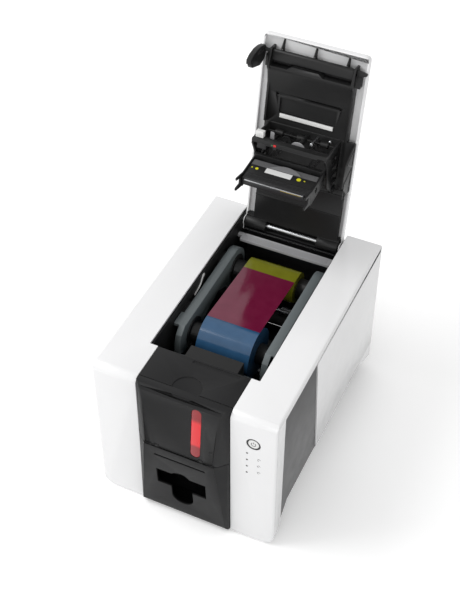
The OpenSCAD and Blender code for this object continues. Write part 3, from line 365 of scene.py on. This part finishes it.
steel = ground_metal("steel_along_x", (0.50, 0.51, 0.53), (0.68, 0.69, 0.70), 0.16, (0.4, 14, 14))
rubber = dull_rubber("roller_rubber")
board_green = lacquered_board("board_green")
print("finishes:", [m.name for m in bpy.data.materials])

# %% [markdown]
# ## Ribbon film and the red window
# The ribbon carries panels of dye: yellow, magenta and blue follow each other along the
# film. So its colour depends only on how far along the printer a point lies, with a sharp
# change at each panel's edge. The film is glossy, and its tension shows as faint lines.
# The level window in the door is clear red plastic. Its brighter middle band is painted light,
# for the light that the empty hopper behind it lets through, and its faint glow is painted too.

# %% Film and window finishes
YELLOW = (0.135, 0.138, 0.005)
MAGENTA = (0.105, 0.0025, 0.024)
BLUE = (0.016, 0.062, 0.135)
film_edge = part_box("supply_film")[1].x
YELLOW_EDGE = takeup.y - 12.5 * MM
BLUE_EDGE = supply.y + 3.0 * MM
DYE_BLEND = 0.2 * MM
RING_STEP = 1.4 * MM


def dye_film(name, colour_at):
    """Glossy film; colour_at(finish) gives its colour."""
    finish = Finish(name)
    tension = finish.noise(0.005, 2, (0.2, 2.4, 2.4))
    return finish.surface({
        "Base Color": colour_at(finish),
        "Roughness": 0.07 + 0.10 * finish.noise(0.02, 3),
        "Normal": finish.bump(tension, 2.6e-5),
    })


def wound_film(name, colour, spool):
    """A roll of film: glossy outside, with the fine rings of its layers at both ends."""
    finish = Finish(name)
    rings = finish.from_axis(spool) * (2 * math.pi / RING_STEP)
    layers = finish.math("SINE", rings)
    at_end = finish.step(finish.from_middle(), film_edge - 0.3 * MM, film_edge - 0.05 * MM)
    darker = tuple(0.55 * part for part in colour)
    ringed = finish.mix(0.5 + 0.5 * layers, darker, tuple(1.1 * part for part in colour))
    return finish.surface({
        "Base Color": finish.mix(at_end, clouded(finish, colour), ringed),
        "Roughness": 0.10 + 0.25 * at_end + 0.10 * finish.noise(0.02, 3),
        "Normal": finish.bump(layers * at_end, 3e-5),
    })


def clouded(finish, colour):
    """A dye colour that is a little paler in places."""
    paler = tuple(min(1.0, 1.35 * part + 0.008) for part in colour)
    return finish.mix(finish.noise(0.012, 3), colour, paler)


def panel_colours(finish):
    y = finish.along(1)
    front = finish.mix(finish.step(y, BLUE_EDGE - DYE_BLEND, BLUE_EDGE + DYE_BLEND),
                       clouded(finish, BLUE), clouded(finish, MAGENTA))
    return finish.mix(finish.step(y, YELLOW_EDGE - DYE_BLEND, YELLOW_EDGE + DYE_BLEND),
                      front, clouded(finish, YELLOW))


def red_window():
    finish = Finish("red_window")
    low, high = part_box("door_window")
    z = finish.along(2)
    # Painted light: a brighter band across the window's middle, also fed to Emission Color as a painted glow
    above_foot = finish.step(z, low.z + 14 * MM, low.z + 18 * MM)
    near_top = finish.step(z, high.z - 20 * MM, high.z - 13 * MM)
    painted_light_band = above_foot * (1 - near_top)
    colour = finish.mix(painted_light_band, (0.24, 0.008, 0.012), (0.64, 0.016, 0.022))
    finish.surface({"Emission Strength": 0.13, "Coat Roughness": 0.05, "Specular IOR Level": 0.35})
    return finish.surface({
        "Base Color": colour,
        "Emission Color": colour,
        "Roughness": 0.12 + 0.1 * finish.noise(0.01, 3),
        "Coat Weight": 0.3,
        "Normal": finish.bump(finish.noise(0.002, 2), 6e-6),
    })


film_panels = dye_film("film_panels", panel_colours)
film_blue = wound_film("film_blue", BLUE, supply)
film_yellow = wound_film("film_yellow", YELLOW, takeup)
window_red = red_window()
print("film changes colour at y =", round(BLUE_EDGE / MM, 1), "and", round(YELLOW_EDGE / MM, 1), "mm")

# %% [markdown]
# ## Softening a machined shape
# The frame's shapes have knife edges, and no moulded part has those: a mould leaves each
# edge slightly round, and it is that thin round edge which catches the light. One could
# model each shell again by hand. Here a copy of the node is taken instead, its triangles
# are merged back into whole faces, and a Bevel modifier rounds its edges. Edges that the
# designer made much rounder, such as the folds of the door, get a wider bevel by weight.

# %% Helpers that turn meshes into pieces
SHARP = math.radians(28)


def new_piece(name, mesh, finish, body):
    """A mesh becomes a piece of the printer that rides on a body."""
    obj = bpy.data.objects.new(name, mesh)
    bpy.context.scene.collection.objects.link(obj)
    mesh.materials.clear()
    mesh.materials.append(finish)
    mesh.polygons.foreach_set("use_smooth", [True] * len(mesh.polygons))
    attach(obj, body)
    return obj


def round_edges(obj, width, segments=2):
    """Rounds the weighted edges of a piece."""
    bevel = obj.modifiers.new("rounding", "BEVEL")
    bevel.width = width
    bevel.segments = segments
    bevel.limit_method = "WEIGHT"
    bevel.harden_normals = True
    bevel.use_clamp_overlap = False
    return obj


def weigh_edges(bm, width, widest, is_wide, is_crisp=lambda edge: False):
    """Gives each sharp edge its share of the widest bevel; crisp ones stay as they are."""
    weight = bm.edges.layers.float.new("bevel_weight_edge")
    for edge in bm.edges:
        if len(edge.link_faces) == 2 and edge.calc_face_angle(0.0) > SHARP:
            if is_crisp(edge):
                edge.smooth = False
            else:
                edge[weight] = 1.0 if is_wide(edge) else width / widest


def soften(node, finish, width=0.35, widest=None, is_wide=lambda edge: False, segments=2, merged=True,
           is_crisp=lambda edge: False):
    """A copy of a node with rounded edges, which stands for the node. Faces with holes
    in them can't be merged whole, so there the triangles only pair up."""
    widest = widest or width
    bm = bmesh.new()
    bm.from_mesh(frame["nodes"][node].data)
    bmesh.ops.remove_doubles(bm, verts=bm.verts, dist=1e-6)
    if merged:
        bmesh.ops.dissolve_limit(bm, angle_limit=math.radians(0.6), verts=bm.verts, edges=bm.edges)
    else:
        bmesh.ops.join_triangles(bm, faces=bm.faces, angle_face_threshold=0.01, angle_shape_threshold=0.7)
    weigh_edges(bm, width, widest, is_wide, is_crisp)
    mesh = bpy.data.meshes.new(node + "_soft")
    bm.to_mesh(mesh)
    bm.free()
    obj = new_piece(node + "_soft", mesh, finish, BODY_OF[node])
    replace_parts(obj, node)
    return round_edges(obj, widest * MM, segments)


def lies_on(edge, test):
    """Whether both ends of an edge pass a test on their place in millimetres."""
    return all(test(vertex.co / MM) for vertex in edge.verts)


# %% [markdown]
# ## Forms for small parts
# Small parts are made as their mould or lathe would make them: an outline that is raised
# to a thickness, or a profile that is turned round an axis. Both work in millimetres in a
# frame of their own, and a matrix lays that frame on the cover, on the print head or on
# the front. Their edges are rounded like all others.

# %% Raised and turned forms
def corner(bm, matrix, x, y, z):
    """A vertex at a place in millimetres of the matrix's own frame."""
    return bm.verts.new(matrix @ Vector((x * MM, y * MM, z * MM)))


def raised(bm, matrix, outline, low, high):
    """An outline in millimetres, raised from low to high."""
    foot = [corner(bm, matrix, u, v, low) for u, v in outline]
    face = [corner(bm, matrix, u, v, high) for u, v in outline]
    bm.faces.new(foot)
    bm.faces.new(face)
    for i in range(len(outline)):
        j = (i + 1) % len(outline)
        bm.faces.new((foot[i], foot[j], face[j], face[i]))


def turned(bm, matrix, profile, steps=32):
    """A profile of radii and heights in millimetres, turned round its axis."""
    angles = [2 * math.pi * step / steps for step in range(steps)]
    rings = [[corner(bm, matrix, radius * math.cos(angle), radius * math.sin(angle), height)
              for angle in angles] for radius, height in profile]
    for lower, upper in zip(rings, rings[1:]):
        for i in range(steps):
            j = (i + 1) % steps
            bm.faces.new((lower[i], lower[j], upper[j], upper[i]))
    bm.faces.new(rings[0])
    bm.faces.new(rings[-1])


def oblong(x0, x1, y0, y1):
    return [(x0, y0), (x1, y0), (x1, y1), (x0, y1)]


def arc(x, y, radius, start, end, steps=24):
    """Points along an arc, with its angles in degrees."""
    angles = [math.radians(start + (end - start) * step / steps) for step in range(steps + 1)]
    return [(x + radius * math.cos(angle), y + radius * math.sin(angle)) for angle in angles]


def band(x, y, inner, outer, start, end):
    """The outline of a curved band between two radii."""
    return arc(x, y, outer, start, end) + arc(x, y, inner, end, start)


def part(name, finish, body, slot, build, width):
    """A small part that build(bm) makes, with rounded edges."""
    bm = bmesh.new()
    build(bm)
    bmesh.ops.recalc_face_normals(bm, faces=bm.faces)
    weigh_edges(bm, width, width, lambda edge: True)
    mesh = bpy.data.meshes.new(name)
    bm.to_mesh(mesh)
    bm.free()
    return round_edges(new_piece(name, mesh, finish, body), width * MM)


# %% [markdown]
# ## White covers and side panels
# Two deep white shells hold the printer from the left and the right. Each has an arch
# between its feet and two flush panels let into its side: a dark grey one in front, cut on
# a slant, and a white one behind it.

# %% Side covers
# Within this many millimetres of the cover's long edges no hole is cut
RIM = 3
inner_x, outer_x = cover_low.x / MM + RIM, SIDE / MM - RIM


def is_light_hole(edge):
    """Whether an edge belongs to the button's hole or a light's, in the right cover's front."""
    return lies_on(edge, lambda p: p.y < FRONT / MM + 6 and inner_x < p.x < outer_x and 60 < p.z < 180)


for side in ("left", "right"):
    soften(side + "_cover", gloss_white, 0.5, segments=3, is_crisp=is_light_hole)
    soften(side + "_rear_side_panel", gloss_white, 0.5, segments=3)
    soften(side + "_front_side_panel", side_grey, 0.4)
soften("rear_panel", charcoal, 0.35)
soften("base_tray", charcoal, 0.5)
print("covers dressed")

# %% [markdown]
# ## Black front
# The door and the lower front form a prow between the covers. Its middle face meets the
# two side facets in soft folds of a few millimetres, and the door's top edge rolls over in
# the same way. All other edges keep a small mould radius.

# %% Door, lower front and top panel
PROW_X = 36.0


def is_fold(edge):
    """The long outer folds of the prow, found by where they run."""
    outside = lies_on(edge, lambda p: p.y < FRONT / MM - 0.5 and PROW_X < abs(p.x) < 53.5)
    long_enough = edge.calc_length() > 20 * MM
    return outside and long_enough and edge.calc_face_angle(0.0) < math.radians(60)


def is_door_fold(edge):
    top_roll = lies_on(edge, lambda p: p.y < FRONT / MM - 1 and p.z > TOP / MM - 3.5)
    return is_fold(edge) or (top_roll and edge.calc_length() > 4 * MM)


soften("feeder_door", grained_black, 0.4, 2.4, is_door_fold, segments=4, merged=False)
soften("front_panel", grained_black, 0.4, 2.4, is_fold, segments=4, merged=False)
soften("top_panel", grained_black, 0.4)
soften("output_tray", frame_black, 0.4)
soften("door_window", window_red, 0.5, segments=3)
print("front dressed")

# %% [markdown]
# ## Top cover
# The cover is a flat white lid with a skirt. Inside it sits the black frame that carries
# the latch bar, the print head and a few small parts. Where the shell curls round the hinge
# it is masked black, which is told by the distance from the hinge's axis.

# %% Top cover and its frame
# Reach of the black mask from the hinge's axis, and to either side of the middle
MASK_RADIUS = 10.4 * MM
MASK_HALF = 57.6 * MM


def lid_white():
    """The gloss white of the covers, with a black mask round the hinge."""
    finish = Finish("lid_white")
    beyond = finish.step(finish.from_axis(hinge), MASK_RADIUS - 0.1 * MM, MASK_RADIUS + 0.1 * MM)
    masked = (finish.from_middle() < MASK_HALF) * (1 - beyond)
    white = finish.mix(finish.noise(CLOUD, 3), *WHITES)
    return finish.surface({
        "Base Color": finish.mix(masked, white, (0.008, 0.008, 0.009)),
        "Roughness": 0.12 + 0.16 * finish.noise(SMUDGE, 4),
        "Normal": finish.bump(finish.noise(ORANGE_PEEL, 2), 4e-6),
    })


soften("lid_shell", lid_white(), 0.5, segments=3)
soften("lid_frame", frame_black, 0.35, merged=False)
soften("latch_bar", frame_black, 0.45)
soften("lid_strip", satin_white, 0.3)
print("cover dressed")

# %% [markdown]
# ## Power button, lights and their marks
# The button is a white cap in a dark ring, with the usual power sign raised on it by a
# hair. The status lights are dark until they are lit. Beside three of them the cover has a
# faint printed mark, which is kept plain here.

# %% Power sign and marks
button = middle("power_button")
lights_low, lights_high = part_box("status_lights")
ON_FRONT = Matrix.Translation((0, FRONT, 0)) @ UPRIGHT
soften("power_button", satin_white, 0.6, segments=3)
soften("button_ring", charcoal, 0.5, segments=3)


def power_sign(bm):
    x, z = button.x / MM, button.z / MM
    raised(bm, ON_FRONT, band(x, z, 2.1, 2.8, 125, 415), 0, 0.12)
    raised(bm, ON_FRONT, oblong(x - 0.35, x + 0.35, z + 0.7, z + 3.2), 0, 0.12)


def light_marks(bm):
    x, top, foot = lights_high.x / MM + 12, lights_high.z / MM - 1.1, lights_low.z / MM + 1.1
    for row in range(3):
        z = top + (foot - top) * (row + 0.5) / 3
        raised(bm, ON_FRONT, band(x, z, 1.2, 1.7, 0, 270), 0, 0.08)


part("power_sign", ash_grey, "button", "dark_panel", power_sign, 0.04)
part("light_marks", ash_grey, BODY_OF["right_cover"], "dark_panel", light_marks, 0.03)
print("button at", round(button.x / MM, 1), round(button.z / MM, 1))

# %% [markdown]
# ## Print head
# The head is a dark bar whose lower edge holds the bright printing line. Its face has a
# ribbed foot, a dark smooth field with a blank white plate and plain yellow dots, and a
# grey ribbed band above with a round grey plate in its middle.

# %% Print head and its face
soften("head_bracket", frame_black, 0.3)
soften("print_head", charcoal, 0.4)
soften("head_edge", charcoal, 0.4)
FACE = ON_HEAD @ UPRIGHT
FACE_HALF = 37.0


def face_foot(bm):
    for z in (4.6, 6.6, 8.6, 10.6, 12.4):
        raised(bm, FACE, oblong(-FACE_HALF, FACE_HALF, z, z + 0.9), -0.1, 0.5)


def face_band(bm):
    raised(bm, FACE, oblong(-FACE_HALF, FACE_HALF, 28.2, 36.0), -0.1, 0.45)
    for z in (29.4, 31.4, 33.4, 35.0):
        raised(bm, FACE, oblong(-FACE_HALF + 0.6, FACE_HALF - 0.6, z, z + 0.7), 0.4, 0.8)


def yellow_dots(bm):
    for x, z, radius in ((-34.2, 23.3, 0.9), (-28.6, 23.0, 1.8), (18.8, 24.0, 2.4), (25.2, 24.1, 0.9)):
        raised(bm, FACE, arc(x, z, radius, 0, 345, 23), 0.28, 0.4)


part("head_face_foot", charcoal, "head", "dark_panel", face_foot, 0.15)
part("head_face_field", frame_black, "head", "black_plastic",
     lambda bm: raised(bm, FACE, oblong(-FACE_HALF, FACE_HALF, 14, 28), -0.5, 0.3), 0.1)
part("head_face_band", ash_grey, "head", "dark_panel", face_band, 0.12)
part("head_face_label", label_white, "head", "white_satin",
     lambda bm: raised(bm, FACE, oblong(-19, 10.5, 20.4, 28), 0.28, 0.42), 0.05)
part("head_face_dots", warm_yellow, "head", "film_yellow", yellow_dots, 0.04)
part("head_round_plate", mid_grey, "head", "light_grey",
     lambda bm: raised(bm, FACE, arc(1.5, 12.4, 23.8, 42, 138, 30), 0.75, 1.5), 0.2)
part("printing_line", steel, "head", "steel",
     lambda bm: raised(bm, FACE, oblong(-33, 33, -0.1, 1.3), 1.15, 1.45), 0.1)
part("printing_line_amber", amber, "head", "film_yellow",
     lambda bm: raised(bm, FACE, oblong(8, 31, -0.15, 0.05), 0.4, 1.2), 0.05)
print("head face dressed")

# %% [markdown]
# ## Parts on the cover's cross rail
# Behind the latch side of the head housing runs a cross rail with a small sensor board.
# Round it stand a white plug, a pale half disc and a slim pale plate. Three small wheels and
# a shaft with three rollers are black on black, so that only their rims catch the light, and
# two steel screws shine between them. Two small lamps sit on the rail.

# %% Rail parts
# Depth of the housing's top plate, from which the uprights hang, and the half disc's centre
CEILING = 11.2
DISC_X, DISC_S = 4.3, 121.6


def sensor_plug(bm):
    raised(bm, ON_LID, oblong(-40, -31.3, 130, 137), 46.5, 52)
    for x in (-38.4, -36.2, -34.0):
        raised(bm, ON_LID, oblong(x, x + 1.0, 132, 135.4), 51.9, 52.5)


def upright(x, s):
    """The frame of an upright on the cover, whose heights are depths below the cover's top."""
    return ON_LID @ Matrix.Translation((x * MM, s * MM, 0))


def half_disc(bm):
    raised(bm, ON_LID, arc(DISC_X, DISC_S, 8.7, 0, 180, 30), 40, 41.6)


def disc_stem(bm):
    turned(bm, upright(DISC_X, DISC_S + 3.2), [(2.5, 13), (2.5, 40.1)], 24)


def rail_wheels(bm):
    for x, s, radius, depth in ((-13.5, 121.0, 6.2, 30), (0.5, 121.5, 4.6, 24), (17.0, 120.5, 5.4, 27)):
        stem = [(2.0, CEILING), (2.0, depth - 2)]
        rim = [(radius, depth - 2), (radius, depth), (radius - 0.9, depth), (radius - 0.9, depth - 0.7)]
        turned(bm, upright(x, s), stem + rim + [(1.6, depth - 0.7), (1.2, depth + 1.6)])


def small_rollers(bm):
    lying = Matrix.Translation((0, 0, 20 * MM)) @ Matrix.Rotation(math.radians(90), 4, "Y")
    profile = [(1.0, -40)]
    for start, end in ((-30, -20), (-5, 5), (22, 32)):
        profile += [(1.0, start), (3.0, start + 0.4), (3.4, start + 1)]
        profile += [(3.4, end - 1), (3.0, end - 0.4), (1.0, end)]
    turned(bm, upright(0, 124.6) @ lying, profile + [(1.0, 40)], 24)


def screw_heads(bm):
    for x, s, depth in ((15.5, 126.2, 30), (30.7, 126.2, 14)):
        head = [(1.7, depth), (1.7, depth + 0.7), (1.2, depth + 1.1)]
        turned(bm, upright(x, s), [(1.0, CEILING), (1.0, depth)] + head, 20)


soften("sensor_board", charcoal, 0.2)
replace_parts(part("half_disc", light_grey, "lid", "light_grey", half_disc, 0.25), "round_cap")
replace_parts(part("half_disc_stem", frame_black, "lid", "light_grey", disc_stem, 0.2), "round_cap")
part("sensor_plug", satin_white, "lid", "white_satin", sensor_plug, 0.25)
PLATE_OUTLINE = [(-29, 117.6), (-24.6, 117.6), (-24.6, 130.4), (-25.6, 132), (-29, 132)]
part("rail_plate", light_grey, "lid", "light_grey",
     lambda bm: raised(bm, ON_LID, PLATE_OUTLINE, 36, 37), 0.15)
part("rail_plate_foot", frame_black, "lid", "black_plastic",
     lambda bm: raised(bm, ON_LID, oblong(-28.5, -25, 118.8, 122.4), CEILING, 36.2), 0.2)
part("rail_wheels", frame_black, "lid", "black_plastic", rail_wheels, 0.15)
part("small_rollers", frame_black, "lid", "black_plastic", small_rollers, 0.15)
part("rail_screws", steel, "lid", "steel", screw_heads, 0.12)
part("sensor_lamp_red", signal_red, "lid", "red_window",
     lambda bm: raised(bm, ON_LID, oblong(-17.2, -14.2, 126.4, 128.6), 56.3, 57.1), 0.15)
part("sensor_lamp_green", board_green, "lid", "board_green",
     lambda bm: raised(bm, ON_LID, oblong(-19.8, -17.6, 126.4, 128.2), 56.3, 56.9), 0.12)
print("rail dressed")

# %% [markdown]
# ## Ribs on the cover's side wing
# The wing beside the head housing is thin, so its outside carries low ribs: two long ones
# that follow the edges and a lattice between them.

# %% Wing ribs
WING_FACE = 57.9
RIB_HALF = 0.5


def wing_ribs(bm):
    """Ribs in the plane of the wing, as bands between two points of the cover."""
    on_wing = ON_LID @ Matrix.Translation((WING_FACE * MM, 0, 0)) @ Matrix.Rotation(math.radians(90), 4, "Y")
    ribs = [((74, 12), (128, 12)), ((74, 33), (94, 33)), ((80, 12), (92, 33)), ((92, 33), (104, 12)),
            ((104, 12), (114, 30)), ((114, 30), (124, 14))]
    for (s0, d0), (s1, d1) in ribs:
        length = math.hypot(s1 - s0, d1 - d0)
        across = (d1 - d0) / length * RIB_HALF
        down = (s1 - s0) / length * RIB_HALF
        far_side = [(s0 - across, d0 + down), (s1 - across, d1 + down)]
        near_side = [(s1 + across, d1 - down), (s0 + across, d0 - down)]
        raised(bm, on_wing, [(-depth, s) for s, depth in far_side + near_side], -0.1, 0.6)


part("wing_ribs", charcoal, "lid", "black_plastic", wing_ribs, 0.15)
print("wing dressed")

# %% [markdown]
# ## Ribbon cassette
# Two grey rails carry the spools. They show from above, with a rounded rear end, a flange
# along the top and a tab to lift them by. A white hook is clipped to the left wall beside
# them, and a pale ribbed bar closes the bay at the back.

# %% Cassette rails and spools
# An outline in y and z that is raised along x
SIDEWAYS = Matrix(((0, 0, 1, 0), (1, 0, 0, 0), (0, 1, 0, 0), (0, 0, 0, 1)))
CLIP_THICKNESS = 1.1
soften("cassette_rail_left", cassette_grey, 0.5)
soften("cassette_rail_right", cassette_grey, 0.5)
soften("supply_core", frame_black, 0.4)
soften("takeup_core", frame_black, 0.4)
soften("rear_guide_bar", light_grey, 0.3)


def wall_clip(bm):
    """A curved hook on the inside of the left wall, thicker towards its top end."""
    low, high = (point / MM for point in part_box("side_clip"))
    spine = [(low.y, low.z + 1.5, 1.0), (low.y + 5, low.z + 2.0, 1.1), (low.y + 10, low.z + 3.4, 1.2),
             (low.y + 15, low.z + 5.6, 1.5), (low.y + 20, high.z - 2.2, 1.9),
             (high.y - 1, high.z - 1.2, 1.9)]
    upper = [(y, min(high.z, z + half)) for y, z, half in spine]
    lower = [(y, z - half) for y, z, half in spine]
    raised(bm, SIDEWAYS, upper + lower[::-1], low.x, low.x + CLIP_THICKNESS)


clip = part("side_clip_hook", satin_white, BODY_OF["side_clip"], SLOT_OF["side_clip"], wall_clip, 0.3)
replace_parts(clip, "side_clip")

# %% [markdown]
# ## Film between the rolls
# The film is drawn tight from the top of one roll to the top of the other. With the cover
# shut the head presses it down to the card, so it is split in three, and the middle stretch
# gets a mesh of its own. A fine grid of faces lets it carry a slight wave.

# %% Three stretches of film
web_low, web_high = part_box("ribbon_web")
SPLITS = (web_low.y, -13 * MM, 30 * MM, web_high.y)
COLUMNS = 30
ROW_STEP = 2 * MM
WAVE_HEIGHT = 0.12 * MM
BELOW_TOP = 0.35 * MM


def film_height(y):
    """The film's height at a place along the printer."""
    share = (y - web_low.y) / (web_high.y - web_low.y)
    return web_high.z + (web_low.z - web_high.z) * share


def film_stretch(name, start, end):
    bm = bmesh.new()
    rows = []
    steps = max(2, round((end - start) / ROW_STEP))
    for j in range(steps + 1):
        y = start + (end - start) * j / steps
        wave = WAVE_HEIGHT * math.sin(math.pi * (y - web_low.y) / (web_high.y - web_low.y))
        row = []
        for i in range(COLUMNS + 1):
            x = film_edge * (2 * i / COLUMNS - 1)
            row.append(bm.verts.new((x, y, film_height(y) - BELOW_TOP + wave * math.cos(9 * x / film_edge))))
        rows.append(row)
    for lower, upper in zip(rows, rows[1:]):
        for i in range(COLUMNS):
            bm.faces.new((lower[i], lower[i + 1], upper[i + 1], upper[i]))
    mesh = bpy.data.meshes.new(name)
    bm.to_mesh(mesh)
    bm.free()
    obj = new_piece(name, mesh, film_panels, BODY_OF["ribbon_web"])
    thick = obj.modifiers.new("thickness", "SOLIDIFY")
    thick.thickness = 0.08 * MM
    thick.use_rim = False
    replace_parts(obj, "ribbon_web")
    return obj


film_stretch("film_front", SPLITS[0], SPLITS[1])
film_middle = film_stretch("film_middle", SPLITS[1], SPLITS[2])
film_stretch("film_rear", SPLITS[2], SPLITS[3])
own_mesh(film_middle)
print("film from y =", round(web_low.y / MM, 1), "to", round(web_high.y / MM, 1), "mm")

# %% [markdown]
# ## Inner works
# What stays inside keeps its exact shape from the frame, and only takes its finish.

# %% Finishes of the carried-over nodes
FINISH_OF_SLOT = {
    "white_gloss": gloss_white, "black_plastic": frame_black, "dark_panel": charcoal,
    "cassette_grey": cassette_grey, "light_grey": light_grey, "white_satin": satin_white,
    "red_window": window_red, "film_yellow": film_yellow, "film_magenta": film_panels,
    "film_blue": film_blue, "steel": steel, "rubber": rubber, "board_green": board_green,
    "motor_black": charcoal,
}
FINISH_OF_NODE = {"status_lights": lamp_dark, "head_springs": charcoal}
for node, obj in frame["nodes"].items():
    obj.data.materials.clear()
    obj.data.materials.append(FINISH_OF_NODE.get(node, FINISH_OF_SLOT[SLOT_OF[node]]))
print("nodes finished:", len(frame["nodes"]))

# %% [markdown]
# ## Floor and light
# A pale floor and a soft studio, lit by the sky and by two large panels. The camera and the
# reflections see a white sky, while other rays get a dimmer one.

# %% Floor, sky and lamps
FILL_FOR_CAMERA = 0.22
SKY_FILL = 0.68
FLOOR_REACH = 6.0


def pale_floor():
    """A pale floor that looks white to the camera and still keeps the shadow."""
    finish = Finish("pale_floor")
    finish.surface({"Emission Strength": 1.0})
    return finish.surface({
        "Base Color": finish.mix(finish.noise(0.5, 2), (0.93, 0.93, 0.93), (0.95, 0.95, 0.95)),
        "Roughness": 0.7 + 0.1 * finish.noise(0.2, 2),
        "Emission Color": finish.mix(finish.seen(), (0, 0, 0), (FILL_FOR_CAMERA,) * 3),
    })


floor_mesh = bpy.data.meshes.new("floor")
corners = [(x * FLOOR_REACH, y * FLOOR_REACH, 0) for x, y in ((-1, -1), (1, -1), (1, 1), (-1, 1))]
floor_mesh.from_pydata(corners, [], [(0, 1, 2, 3)])
floor_mesh.materials.append(pale_floor())
floor = bpy.data.objects.new("floor", floor_mesh)
bpy.context.scene.collection.objects.link(floor)

world = bpy.data.worlds.new("studio")
bpy.context.scene.world = world
world.use_nodes = True
sky = Tree(world.node_tree)
sky.graph.nodes.clear()
strength = SKY_FILL + (1 - SKY_FILL) * sky.seen()
background = sky.node("ShaderNodeBackground", None, {"Color": (1, 1, 1, 1), "Strength": strength})
sky.plug(sky.graph.nodes.new("ShaderNodeOutputWorld").inputs[0], background)


def softbox(name, place, size, power):
    """A square area lamp that looks at the printer."""
    lamp = bpy.data.lights.new(name, "AREA")
    lamp.size = size
    lamp.energy = power
    obj = bpy.data.objects.new(name, lamp)
    obj.location = place
    obj.rotation_euler = (Vector((0, 0, 0.15)) - Vector(place)).to_track_quat("-Z", "Y").to_euler()
    bpy.context.scene.collection.objects.link(obj)


softbox("softbox_left", (-1.3, -0.5, 1.7), 1.2, 22)
softbox("softbox_front", (0.5, -1.9, 1.1), 1.2, 8)
print("studio ready")
